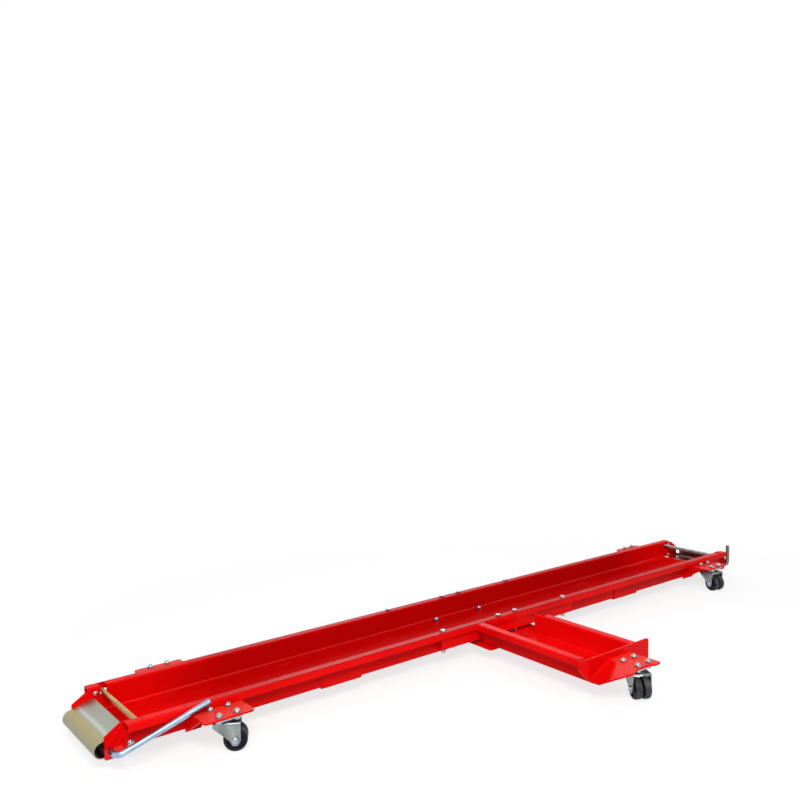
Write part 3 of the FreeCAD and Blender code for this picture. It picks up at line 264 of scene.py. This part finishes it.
def rolledSheet(tree, sheet, cloud, colour, bands):
    # the sheet's colour, and its share of bare metal
    low, high = bands[0][0] / 1000, bands[-1][0] / 1000
    axes = addNode(tree, "ShaderNodeSeparateXYZ", links={"Vector": sheet.outputs["Object"]}).outputs
    away = addNode(tree, "ShaderNodeMath", {"operation": "ABSOLUTE"}, {0: axes["X"]})
    stain = addNode(tree, "ShaderNodeMath", {"operation": "MULTIPLY_ADD", 1: zincBase["stainM"]},
                    {0: cloud.outputs["Fac"], 2: away.outputs[0]})
    shift = zincBase["stainM"] / 2
    share = addNode(tree, "ShaderNodeMapRange", {"From Min": low + shift, "From Max": high + shift},
                    {"Value": stain.outputs[0]})
    spots = [((mm / 1000 - low) / (high - low), tone) for mm, tone in bands]
    bath = setRamp(addNode(tree, "ShaderNodeValToRGB", links={"Fac": share.outputs["Result"]}), spots)
    colour = addNode(tree, "ShaderNodeMix", {"data_type": "RGBA", 0: zincBase["bandShare"]},
                     {6: colour, 7: bath}).outputs[2]
    across = addNode(tree, "ShaderNodeCombineXYZ", links={"X": away.outputs[0], "Z": axes["Z"]})
    fromAxis = addNode(tree, "ShaderNodeVectorMath",
                       {"operation": "SUBTRACT", 1: (hollow["outM"], 0, hollow["upM"])},
                       {0: across.outputs[0]})
    facing = addNode(tree, "ShaderNodeSeparateXYZ", links={"Vector": sheet.outputs["Normal"]}).outputs
    end = addNode(tree, "ShaderNodeMath", {"operation": "SIGN"}, {0: axes["X"]})
    outward = addNode(tree, "ShaderNodeMath", {"operation": "MULTIPLY"},
                      {0: facing["X"], 1: end.outputs[0]})
    turned = addNode(tree, "ShaderNodeCombineXYZ", links={"X": outward.outputs[0], "Z": facing["Z"]})
    dot = addNode(tree, "ShaderNodeVectorMath", {"operation": "DOT_PRODUCT"},
                  {0: fromAxis.outputs[0], 1: turned.outputs[0]})
    inside = addNode(tree, "ShaderNodeMath", {"operation": "LESS_THAN", 1: hollow["insideM"]},
                     {0: dot.outputs["Value"]})
    rear = addNode(tree, "ShaderNodeMath", {"operation": "GREATER_THAN", 1: 0.0}, {0: axes["X"]})
    # near black painted shade inside the front roll, a dull red painted reflection of the red track inside
    # the rear roll
    coat = addNode(tree, "ShaderNodeMix",
                   {"data_type": "RGBA", 6: hexLinear(hollow["paintedHollowShade"]), 7: hexLinear(hollow["paintedRedReflection"])},
                   {0: rear.outputs[0]})
    colour = addNode(tree, "ShaderNodeMix", {"data_type": "RGBA"},
                     {0: inside.outputs[0], 6: colour, 7: coat.outputs[2]}).outputs[2]
    # no metal where the rear roll's inside carries the painted reflection of the red track
    paintedReflectionShare = addNode(tree, "ShaderNodeMath", {"operation": "MULTIPLY"},
                      {0: inside.outputs[0], 1: rear.outputs[0]})
    bare = addNode(tree, "ShaderNodeMath", {"operation": "SUBTRACT", 0: 1.0}, {1: paintedReflectionShare.outputs[0]})
    return colour, bare.outputs[0]


def zincPlate(name, look):
    material, tree = startMaterial(name)
    sheet = addNode(tree, "ShaderNodeTexCoord")
    place = sheet.outputs["Object"]
    cloud = addNode(tree, "ShaderNodeTexNoise", {"Scale": perMm(zincBase["cloudMm"]), "Detail": 3},
                    {"Vector": place})
    lines = addNode(tree, "ShaderNodeMapping", {"Scale": tuple(perMm(size) for size in look["lineMm"])},
                    {"Vector": place})
    drawn = addNode(tree, "ShaderNodeTexNoise", {"Scale": 1.0, "Detail": 5, "Roughness": 0.6},
                    {"Vector": lines.outputs["Vector"]})
    both = addNode(tree, "ShaderNodeMix", {0: zincBase["drawnShare"]},
                   {2: cloud.outputs["Fac"], 3: drawn.outputs["Fac"]})
    places = np.linspace(*zincBase["tonesAt"], len(look["tones"])).tolist()
    colour = setRamp(addNode(tree, "ShaderNodeValToRGB", links={"Fac": both.outputs[0]}),
                     list(zip(places, look["tones"])))
    rough = addNode(tree, "ShaderNodeMapRange", {"To Min": look["rough"][0], "To Max": look["rough"][1]},
                    {"Value": drawn.outputs["Fac"]})
    relief = addNode(tree, "ShaderNodeBump",
                     {"Strength": look["relief"], "Distance": zincBase["reliefM"]},
                     {"Height": drawn.outputs["Fac"]})
    links = {"Base Color": colour, "Roughness": rough.outputs["Result"],
             "Normal": relief.outputs["Normal"]}
    if "bands" in look:
        links["Base Color"], links["Metallic"] = rolledSheet(tree, sheet, cloud, colour, look["bands"])
    shader = addNode(tree, "ShaderNodeBsdfPrincipled", {"Metallic": 1.0}, links)
    addNode(tree, "ShaderNodeOutputMaterial", links={"Surface": shader.outputs["BSDF"]})
    return material


# Moulded wheel: blue black polyamide sides, a dull grey dusty tread; the mould's grain is drawn coarser
# so that it shows
wheelLooks = {
    "black polyamide": {"black": "#090d14", "dust": "#1c242e", "grainMm": 3.0, "gloss": 0.2},
    "dusty grey tread": {"black": "#292b2e", "dust": "#5c5c5a", "grainMm": 2.0, "gloss": 0.25},
}
wheelBase = {"dustMm": 14, "dustAt": (0.42, 0.8), "rough": (0.38, 0.6), "relief": 0.3, "reliefM": 0.0002}


def wheelPlastic(name, look):
    material, tree = startMaterial(name)
    place = addNode(tree, "ShaderNodeTexCoord").outputs["Object"]
    dust = addNode(tree, "ShaderNodeTexNoise", {"Scale": perMm(wheelBase["dustMm"]), "Detail": 5},
                   {"Vector": place})
    colour = setRamp(addNode(tree, "ShaderNodeValToRGB", links={"Fac": dust.outputs["Fac"]}),
                     list(zip(wheelBase["dustAt"], (look["black"], look["dust"]))))
    grain = addNode(tree, "ShaderNodeTexNoise", {"Scale": perMm(look["grainMm"]), "Detail": 2},
                    {"Vector": place})
    relief = addNode(tree, "ShaderNodeBump",
                     {"Strength": wheelBase["relief"], "Distance": wheelBase["reliefM"]},
                     {"Height": grain.outputs["Fac"]})
    rough = addNode(tree, "ShaderNodeMapRange",
                    {"To Min": wheelBase["rough"][0], "To Max": wheelBase["rough"][1]},
                    {"Value": dust.outputs["Fac"]})
    shader = addNode(tree, "ShaderNodeBsdfPrincipled", {"IOR": 1.5, "Specular IOR Level": look["gloss"]},
                     {"Base Color": colour, "Roughness": rough.outputs["Result"],
                      "Normal": relief.outputs["Normal"]})
    addNode(tree, "ShaderNodeOutputMaterial", links={"Surface": shader.outputs["BSDF"]})
    return material


finishes = {name: zincPlate(name, look) for name, look in zincLooks.items()}
finishes["gloss red powder coat"] = powderCoat("gloss red powder coat", coatLook)
for name, look in wheelLooks.items():
    finishes[name] = wheelPlastic(name, look)

slotFinish = {
    "red_powder_coat": "gloss red powder coat",
    "bright_zinc": "bright zinc plate",
    "passivated_zinc": "passivated zinc sheet",
    "yellow_zinc": "yellow zinc drawn rod",
    "caster_steel": "satin zinc caster steel",
    "black_wheel": "black polyamide",
}
# nodes whose finish isn't their slot's own, by the ends of their names
nodeFinish = {
    "front_ramp_lever": "bright zinc drawn bar",
    # the rear lever takes the darker copy of the drawn bar, as painted shade
    "rear_ramp_lever": "shaded zinc drawn bar",
    "rear_lock_rod": "satin zinc caster steel",
    "_axle": "bright zinc plate",
    "_caster_plate": "bright zinc plate",
}
for row in frame["record"]["subparts"]:
    finish = slotFinish[row["material_slot"]]
    for ending, other in nodeFinish.items():
        if row["node"].endswith(ending):
            finish = other
    mesh = nodes[row["node"]].data
    mesh.materials.clear()
    mesh.materials.append(finishes[finish])
print("finishes set:", len(finishes))

# Mesh helpers: every new piece is one or more grids of points, rows along v, columns along u
meshing = {"mergeM": 1e-6, "sharpDeg": 32}


def tileGrid(points, closed):
    # faces of a grid, optionally closed along u
    rows, columns = points.shape[:2]
    index = np.arange(rows * columns).reshape(rows, columns)
    if closed:
        index = np.concatenate([index, index[:, :1]], axis=1)
    quads = np.stack([index[:-1, :-1], index[:-1, 1:], index[1:, 1:], index[1:, :-1]], axis=-1)
    return points.reshape(-1, 3), quads.reshape(-1, 4)


def makePiece(name, grids, finish, body, stands=()):
    # finish is one name, or one for each grid
    names = [finish] * len(grids) if isinstance(finish, str) else finish
    kinds = list(dict.fromkeys(names))
    corners, quads, coats, start = [], [], [], 0
    for (points, closed), coat in zip(grids, names):
        spots, tiles = tileGrid(np.asarray(points, float), closed)
        corners.append(spots)
        quads.append(tiles + start)
        coats.append(np.full(len(tiles), kinds.index(coat), np.int32))
        start += len(spots)
    mesh = bpy.data.meshes.new(name)
    mesh.from_pydata(np.concatenate(corners).tolist(), [], np.concatenate(quads).tolist())
    for kind in kinds:
        mesh.materials.append(finishes[kind])
    mesh.polygons.foreach_set("material_index", np.concatenate(coats))
    work = bmesh.new()
    work.from_mesh(mesh)
    bmesh.ops.remove_doubles(work, verts=work.verts, dist=meshing["mergeM"])
    bmesh.ops.recalc_face_normals(work, faces=work.faces)
    work.to_mesh(mesh)
    work.free()
    mesh.polygons.foreach_set("use_smooth", np.ones(len(mesh.polygons), bool))
    mesh.set_sharp_from_angle(angle=math.radians(meshing["sharpDeg"]))
    piece = bpy.data.objects.new(name, mesh)
    scene.collection.objects.link(piece)
    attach(piece, body)
    if stands:
        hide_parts(*stands)
    return piece


def turnTo(points, place, way):
    # local z along way, then moved to place
    way = np.asarray(way, float) / np.linalg.norm(way)
    helper = np.array([1.0, 0, 0]) if abs(way[0]) < 0.9 else np.array([0, 1.0, 0])
    side = np.cross(way, helper)
    side /= np.linalg.norm(side)
    return points @ np.stack([np.cross(side, way), side, way]) + np.asarray(place, float)


def fullTurn(count):
    # that many angles, evenly round a circle
    return np.linspace(0, 2 * np.pi, count, endpoint=False)


def roundGrid(radius, angle, height):
    # points at each radius and angle about z, at each height
    radius, height = radius + 0 * angle, height + 0 * angle
    return np.stack([radius * np.cos(angle), radius * np.sin(angle), height], axis=-1)


def lathe(profile, count=40):
    # profile of (radius, height) turned about z
    profile = np.asarray(profile, float)
    return roundGrid(profile[:, :1], fullTurn(count), profile[:, 1:])


# Fasteners: M8, hexagon with chamfered corners, a domed collar on the nut and a cut thread on the tail
bolt = {"dia": 0.008, "flats": 0.013, "nut": 0.0065, "long": 0.0115, "head": 0.0053, "facets": 72,
        "faceShare": 0.485, "chamfer": 0.62, "collar": 0.0018, "collarOut": 0.0022,
        "pitch": 0.00125, "cut": 0.0006, "fade": 0.0008, "tail": 0.002, "bury": 0.0005,
        "threadSides": 32, "threadRows": 20,
        "sunkRadius": 0.0068, "sunk": 0.0002, "socket": 0.005, "socketDeep": 0.0022, "sunkShank": 0.003,
        "roundRadius": 0.0052, "roundHigh": 0.0036}


def hexagonRadius(flats, angle):
    # half the flats over the cosine of the angle from the middle of the nearest flat
    sixth = np.pi / 3
    return flats / 2 / np.cos((angle + sixth / 2) % sixth - sixth / 2)


def hexagonGrid(flats, low, high):
    # radius is the hexagon's, cut by a cone at each face
    angle = fullTurn(bolt["facets"])
    corner = flats / math.sqrt(3)
    face = flats * bolt["faceShare"]
    drop = (corner - face) * bolt["chamfer"]
    rise = np.linspace(0, 1, 5)
    cap = np.concatenate([[0, face], face + (corner - face) * rise,
                          corner - (corner - face) * rise, [face, 0]])
    height = np.concatenate([[low, low], low + drop * rise, high - drop + drop * rise, [high, high]])
    return roundGrid(np.minimum(hexagonRadius(flats, angle), cap[:, None]), angle, height[:, None])


def threadGrid(low, high):
    # radius dips with a triangle wave that climbs one pitch each turn, and fades out at the tip
    angle = fullTurn(bolt["threadSides"])
    height = np.linspace(low, high, bolt["threadRows"])[:, None]
    phase = (height / bolt["pitch"] - angle / (2 * np.pi)) % 1
    fade = np.clip((high - height) / bolt["fade"], 0, 1)
    radius = bolt["dia"] / 2 - bolt["cut"] * np.abs(2 * phase - 1) * fade - bolt["cut"] * (1 - fade)
    return np.concatenate([roundGrid(radius, angle, height), roundGrid(0, angle, high)[None]])


def sunkHead():
    # rows from the hexagon socket's floor out over the flush face and down the cone to the shank, all
    # below z = 0
    angle = fullTurn(bolt["facets"])
    key = hexagonRadius(bolt["socket"], angle)
    face, shank = -bolt["sunk"], bolt["dia"] / 2
    rows = [(0, face - bolt["socketDeep"]), (key, face - bolt["socketDeep"]), (key, face),
            (bolt["sunkRadius"], face), (shank, face - bolt["sunkRadius"] + shank),
            (0, face - bolt["sunkShank"])]
    return np.array([roundGrid(radius, angle, height) for radius, height in rows])


def endGrids(kind):
    # one end of a bolt standing on z = 0; the domes are quarter ellipses turned about z
    bend = np.linspace(0, np.pi / 2, 8)
    if kind == "head":
        return [hexagonGrid(bolt["flats"], 0, bolt["head"])]
    if kind == "sunk":
        return [sunkHead()]
    if kind == "round":
        cap = np.stack([bolt["roundRadius"] * np.cos(bend), bolt["roundHigh"] * np.sin(bend)], axis=1)
        return [lathe(np.concatenate([[(0, 0)], cap]))]
    nut = bolt[kind]
    shoulder = nut - bolt["collar"]
    dome = np.stack([bolt["dia"] / 2 + bolt["collarOut"] * np.cos(bend),
                     shoulder + bolt["collar"] * np.sin(bend)], axis=1)
    return [hexagonGrid(bolt["flats"], 0, shoulder),
            lathe(np.concatenate([[(0, shoulder)], dome, [(0, nut)]])),
            threadGrid(nut - bolt["bury"], nut + bolt["tail"])]


def boltGrids(place, way, low, high, under, over):
    # shank from low to high along way from place, with one kind of end at each
    shankLow = low + bolt["sunkShank"] * (under == "sunk")
    shankHigh = high - bolt["sunkShank"] * (over == "sunk")
    radius = bolt["dia"] / 2
    parts = [lathe([(0, shankLow), (radius, shankLow), (radius, shankHigh), (0, shankHigh)])]
    parts += [part * (1, 1, -1) + (0, 0, low) for part in endGrids(under)]
    parts += [part + (0, 0, high) for part in endGrids(over)]
    return [(turnTo(part, place, way), True) for part in parts]


joints = {joint["name"]: joint for joint in frame["record"]["behaviour"]["joints"]}
casterNames = ("front_near", "front_far", "rear_near", "rear_far", "tray")
up = (0, 0, 1)

# caster plates: four bolts round each king pin, nuts on the bracket
casterBolt = {"step": 0.02, "low": 0.07, "high": 0.077}
grids = []
for name in casterNames:
    x, y, _ = joints[name + "_swivel"]["pos_m"]
    for stepX in (-casterBolt["step"], casterBolt["step"]):
        for stepY in (-casterBolt["step"], casterBolt["step"]):
            spot = (x + stepX, y + stepY, 0)
            grids += boltGrids(spot, up, casterBolt["low"], casterBolt["high"], "head", "nut")
makePiece("casterBoltSet", grids, "bright zinc plate", "frame", ["caster_bolts"])

# splice rails: long bolts, heads on the flange top and nuts under the rail
spliceBolt = {"along": (-0.239, -0.043, 0.021, 0.217), "out": 0.114, "low": 0.048, "high": 0.094}
grids = []
for side in (-1, 1):
    for x in spliceBolt["along"]:
        spot = (x, trackY + side * spliceBolt["out"], 0)
        grids += boltGrids(spot, up, spliceBolt["low"], spliceBolt["high"], "nut", "head")
makePiece("spliceBoltSet", grids, "bright zinc plate", "frame", ["splice_bolts"])

# tray arm: two bolts with long nuts on the track floor, two flush screws in the tray floor with their
# nuts below; places along the track and from its centre line
trayBolt = {"track": ((-0.098, 0.076), (0.068, 0.076)), "tray": ((-0.0805, -0.152), (0.0195, -0.152)),
            "low": 0.034, "high": 0.042}
grids = []
for where, under, over in (("track", "head", "long"), ("tray", "nut", "sunk")):
    for x, y in trayBolt[where]:
        grids += boltGrids((x, trackY + y, 0), up, trayBolt["low"], trayBolt["high"], under, over)
makePiece("trayBoltSet", grids, "bright zinc drawn bar", "frame", ["tray_bolts"])

# ramps: pivot bolts stay with the frame, stop bolts move with the ramp; round heads inside, nuts outside
# the wall; each kind's place in from the track end, its height, and where its nut sits
rampBolt = {"low": 0.0945, "pivot": (0.012, 0.048, 0.104), "stop": (0.013, 0.083, 0.1043)}
for end, way in (("front", -1), ("rear", 1)):
    for kind, body in (("pivot", "frame"), ("stop", end + "_ramp")):
        inward, height, high = rampBolt[kind]
        grids = []
        for side in (-1, 1):
            spot = (way * (trackEnd - inward), trackY, height)
            grids += boltGrids(spot, (0, side, 0), rampBolt["low"], high, "round", "nut")
        makePiece(end + kind.capitalize() + "Bolts", grids, "bright zinc plate", body,
                  ["%s_%s_bolts" % (end, kind)])
print("fasteners made")

# Twin caster wheels: moulded, with a crowned tread, a dish with ribs and a hub boss
wheel = {"radius": 0.025, "width": 0.018, "gap": 0.003, "edge": 0.004, "crown": 0.0003,
         "treadDrop": 0.001, "dishRadius": 0.0175, "dish": 0.0028, "dishWall": 0.001, "dishRim": 0.0006,
         "bossRadius": 0.0072, "bossDraft": 0.0004, "bore": 0.00406,
         "ribs": 6, "ribRise": 0.0016, "ribFrom": 0.8, "ribSlope": 0.12, "turns": 120}


def wheelGrid(side):
    # turned profile from bore to bore, cut at the tread; the dish floor rises in ribs that follow the angle
    half, full, edge, crown = wheel["width"] / 2, wheel["radius"], wheel["edge"], wheel["crown"]
    boss, dish, rim = wheel["bossRadius"], wheel["dishRadius"], wheel["dishRim"]
    deep = half - wheel["dish"]
    middle = side * (wheel["gap"] + wheel["width"]) / 2
    across = np.linspace(boss + wheel["dishWall"], dish - wheel["dishWall"], 6)
    bend = np.linspace(0, np.pi / 2, 7)
    over = np.linspace(-1, 1, 9)
    outer = np.concatenate([
        [[wheel["bore"], half], [boss, half], [boss + wheel["bossDraft"], deep]],
        np.stack([across, np.full(6, deep)], axis=1),
        [[dish, half - rim], [dish + rim, half]],
        np.stack([full - edge + edge * np.sin(bend) - crown, half - edge + edge * np.cos(bend)], axis=1),
        np.stack([full - crown * over ** 2, -over * (half - edge)], axis=1)[1:-1],
        np.stack([full - edge + edge * np.cos(bend) - crown, -half + edge - edge * np.sin(bend)], axis=1),
        [[wheel["bore"], -half], [wheel["bore"], half]],
    ])
    radius, height = outer[:, :1], outer[:, 1:]
    inDish = (radius > boss) & (radius < dish) & (height > 0) & (height < half - wheel["dishWall"])
    angle = fullTurn(wheel["turns"])
    crest = (np.cos(angle * wheel["ribs"]) - wheel["ribFrom"]) / wheel["ribSlope"]
    rib = np.clip(crest, 0, 1) * wheel["ribRise"]
    whole = roundGrid(radius, angle, side * (height + inDish * rib) + middle)
    tread = np.flatnonzero(outer[:, 0] > full - wheel["treadDrop"])
    first, last = tread[0], tread[-1]
    return [(whole[:first + 1], True), (whole[first:last + 1], True), (whole[last:], True)]


for name in casterNames:
    for which, side in (("inner", -1), ("outer", 1)):
        spin = joints["%s_%s_spin" % (name, which)]
        grids = [(turnTo(points, spin["pos_m"], spin["axis"]), closed) for points, closed in wheelGrid(side)]
        makePiece("%s_%sWheel" % (name, which), grids,
                  ["black polyamide", "dusty grey tread", "black polyamide"],
                  "%s_%s_roll" % (name, which), ["%s_wheel_%s" % (name, which)])
print("wheels made")

# Weld beads: a round profile carried along a line, swelling with each ripple of the weld
weld = {"radius": 0.0022, "ripple": 0.004, "swell": 0.16, "sides": 10, "rows": 6, "fewest": 8}
# where they run: brackets and straps along the outside of both walls, front and rear, and round the
# tray's end plate
weldPlan = {"wallOut": 0.104, "topHalf": 0.053,
            "bracketIn": (0.188, 0.148), "bracketEdge": 0.056,
            "bracketUp": (0.0405, 0.0755), "bracketTop": 0.0775,
            "strapOut": (0.545, 0.522), "strapEdge": 0.055,
            "strapUp": (0.046, 0.074), "strapTop": 0.0762,
            "capOut": 0.476, "capTop": ((-0.029, 0.0775), (0.04, 0.0775)),
            "capSlope": ((-0.031, 0.0772), (-0.107, 0.0455))}


def beadGrid(start, finish):
    # circle round the line from start to finish; radius swells once per ripple and closes at both ends
    start, finish = np.asarray(start, float), np.asarray(finish, float)
    length = np.linalg.norm(finish - start)
    along = np.linspace(0, length, max(int(length / weld["ripple"] * weld["rows"]), weld["fewest"]))
    close = np.sqrt(np.clip(np.minimum(along, length - along) / weld["radius"], 0, 1))
    radius = weld["radius"] * (1 + weld["swell"] * np.sin(2 * np.pi * along / weld["ripple"])) * close
    ring = roundGrid(radius[:, None], fullTurn(weld["sides"]), along[:, None])
    return turnTo(ring, start, finish - start)


seams = []
for way, bracketIn, strapOut in zip((-1, 1), weldPlan["bracketIn"], weldPlan["strapOut"]):
    bracket, strap, half = way * (trackEnd - bracketIn), way * strapOut, weldPlan["topHalf"]
    marks = [[(bracket + weldPlan["bracketEdge"], height) for height in weldPlan["bracketUp"]],
             [(bracket + step, weldPlan["bracketTop"]) for step in (-half, half)]]
    for edge in (-weldPlan["strapEdge"], weldPlan["strapEdge"]):
        marks.append([(strap + edge, height) for height in weldPlan["strapUp"]])
    marks.append([(strap + step, weldPlan["strapTop"]) for step in (-half, half)])
    for side in (-1, 1):
        wall = trackY + side * weldPlan["wallOut"]
        seams += [[(x, wall, height) for x, height in mark] for mark in marks]
for key in ("capTop", "capSlope"):
    seams.append([(x, trackY - weldPlan["capOut"], height) for x, height in weldPlan[key]])
grids = [(beadGrid(*seam), True) for seam in seams]
makePiece("weldBeads", grids, "gloss red powder coat", "frame")
print("welds made:", len(seams))

# Ramp side plates: a pressed crease down the outer face, from the top corner to the lever's hole
crease = {"top": (0.001, 0.088), "foot": (0.024, 0.053), "half": 0.0026, "proud": 0.0016, "thin": 0.2,
          "sides": 16, "rows": 30}


def creaseGrid(start, finish, out):
    # ellipse carried along the line, thinning to nothing over the last fifth at each end
    start, finish, out = (np.asarray(spot, float) for spot in (start, finish, out))
    along = np.linspace(0, 1, crease["rows"])
    way = finish - start
    side = np.cross(way / np.linalg.norm(way), out)
    swell = np.sqrt(np.clip(np.minimum(along, 1 - along) / crease["thin"], 0, 1))[:, None]
    angle = fullTurn(crease["sides"])
    across = (crease["half"] * swell * np.cos(angle))[..., None] * side
    rise = (crease["proud"] * swell * np.sin(angle))[..., None] * out
    return start + along[:, None, None] * way + across + rise


for end, way in (("front", -1), ("rear", 1)):
    grids = []
    for plate, side in (("near", -1), ("far", 1)):
        low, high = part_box("%s_ramp_%s_plate" % (end, plate))
        face = low[1] if side < 0 else high[1]
        ends = [(way * (trackEnd + crease[key][0]), face, crease[key][1]) for key in ("top", "foot")]
        grids.append((creaseGrid(*ends, (0, side, 0)), True))
    makePiece(end + "PlateCreases", grids, "gloss red powder coat", end + "_ramp")
print("ramp plates creased")

# Camera fitted to the photograph, in the dolly's frame
view = {"place": (-1.639, -1.5102, 0.815), "yaw": 51.49, "pitch": 3.53, "roll": -0.59,
        "focalPx": 850.2, "imagePx": 800, "sensorMm": 36}


def addCamera(view):
    yaw, pitch, roll = (math.radians(view[key]) for key in ("yaw", "pitch", "roll"))
    ahead = Vector((math.cos(yaw) * math.cos(pitch), math.sin(yaw) * math.cos(pitch), -math.sin(pitch)))
    right = Vector((math.sin(yaw), -math.cos(yaw), 0))
    top = right.cross(ahead)
    across = math.cos(roll) * right + math.sin(roll) * top
    upright = math.cos(roll) * top - math.sin(roll) * right
    data = bpy.data.cameras.new("camera")
    data.sensor_width = view["sensorMm"]
    data.lens = data.sensor_width * view["focalPx"] / view["imagePx"]
    camera = bpy.data.objects.new("camera", data)
    scene.collection.objects.link(camera)
    turn = Matrix((across, upright, -ahead)).transposed().to_4x4()
    camera.matrix_world = Matrix.Translation(view["place"]) @ turn
    scene.camera = camera


addCamera(view)

# Soft boxes round the dolly: the key high on the tray side ahead, a weak one overhead, one behind
lamps = [
    {"name": "key", "place": (-2.0, -2.2, 2.8), "aim": (0, 0, 0.05), "size": (1.8, 1.2), "watts": 116},
    {"name": "overhead", "place": (0.3, 0.0, 2.6), "aim": (0.1, 0, 0), "size": (2.2, 0.8), "watts": 7},
    {"name": "behind", "place": (1.6, 2.6, 1.9), "aim": (0, 0.1, 0), "size": (1.6, 0.8), "watts": 20},
]
for lamp in lamps:
    data = bpy.data.lights.new(lamp["name"], "AREA")
    data.shape = "RECTANGLE"
    data.size, data.size_y = lamp["size"]
    data.energy = lamp["watts"]
    light = bpy.data.objects.new(lamp["name"], data)
    scene.collection.objects.link(light)
    aim = Vector(lamp["aim"]) - Vector(lamp["place"])
    turn = aim.to_track_quat("-Z", "Y").to_matrix().to_4x4()
    light.matrix_world = Matrix.Translation(lamp["place"]) @ turn


def seenRays(tree):
    # 1 for what the camera sees, also in a reflection or through glass, and 0 for all other light
    rays = addNode(tree, "ShaderNodeLightPath").outputs
    seen = addNode(tree, "ShaderNodeMath", {"operation": "MAXIMUM"},
                   {0: rays["Is Camera Ray"], 1: rays["Is Glossy Ray"]})
    seen = addNode(tree, "ShaderNodeMath", {"operation": "MAXIMUM"},
                   {0: seen.outputs[0], 1: rays["Is Transmission Ray"]})
    return seen.outputs[0]


# White room: the camera and reflections see white, the rest gets a plain soft light
roomLook = {"plain": 0.35, "seen": 1.0}
world = bpy.data.worlds.new("white room")
scene.world = world
world.use_nodes = True
tree = world.node_tree
tree.nodes.clear()
level = addNode(tree, "ShaderNodeMapRange", {"To Min": roomLook["plain"], "To Max": roomLook["seen"]},
                {"Value": seenRays(tree)})
sky = addNode(tree, "ShaderNodeBackground", {"Color": (1, 1, 1, 1)}, {"Strength": level.outputs["Result"]})
addNode(tree, "ShaderNodeOutputWorld", links={"Surface": sky.outputs["Background"]})

# Matt white floor: to the camera and in reflections most of its white is its own, all of it far away, so
# that the shadow stays light
floorLook = {"half": 30.0, "paint": "#dedede", "seen": "#8c8c8c", "glow": (0.77, 1.0), "glowM": (1.3, 3.6)}
corners = np.array([[-1, -1, 0], [1, -1, 0], [1, 1, 0], [-1, 1, 0]]) * floorLook["half"]
floorMesh = bpy.data.meshes.new("floor")
floorMesh.from_pydata(corners.tolist(), [], [(0, 1, 2, 3)])
floor = bpy.data.objects.new("floor", floorMesh)
scene.collection.objects.link(floor)
material, tree = startMaterial("matt white studio floor")
paint = addNode(tree, "ShaderNodeBsdfDiffuse", {"Color": hexLinear(floorLook["paint"])})
matt = addNode(tree, "ShaderNodeBsdfDiffuse", {"Color": hexLinear(floorLook["seen"])})
place = addNode(tree, "ShaderNodeTexCoord").outputs["Object"]
away = addNode(tree, "ShaderNodeVectorMath", {"operation": "LENGTH"}, {0: place})
glow = addNode(tree, "ShaderNodeMapRange",
               {"From Min": floorLook["glowM"][0], "From Max": floorLook["glowM"][1],
                "To Min": floorLook["glow"][0], "To Max": floorLook["glow"][1]},
               {"Value": away.outputs["Value"]})
shine = addNode(tree, "ShaderNodeEmission", {"Color": (1, 1, 1, 1)}, {"Strength": glow.outputs["Result"]})
white = addNode(tree, "ShaderNodeAddShader", links={0: matt.outputs[0], 1: shine.outputs[0]})
both = addNode(tree, "ShaderNodeMixShader",
               links={0: seenRays(tree), 1: paint.outputs[0], 2: white.outputs[0]})
addNode(tree, "ShaderNodeOutputMaterial", links={"Surface": both.outputs[0]})
floorMesh.materials.append(material)
print("camera, lamps and floor set")
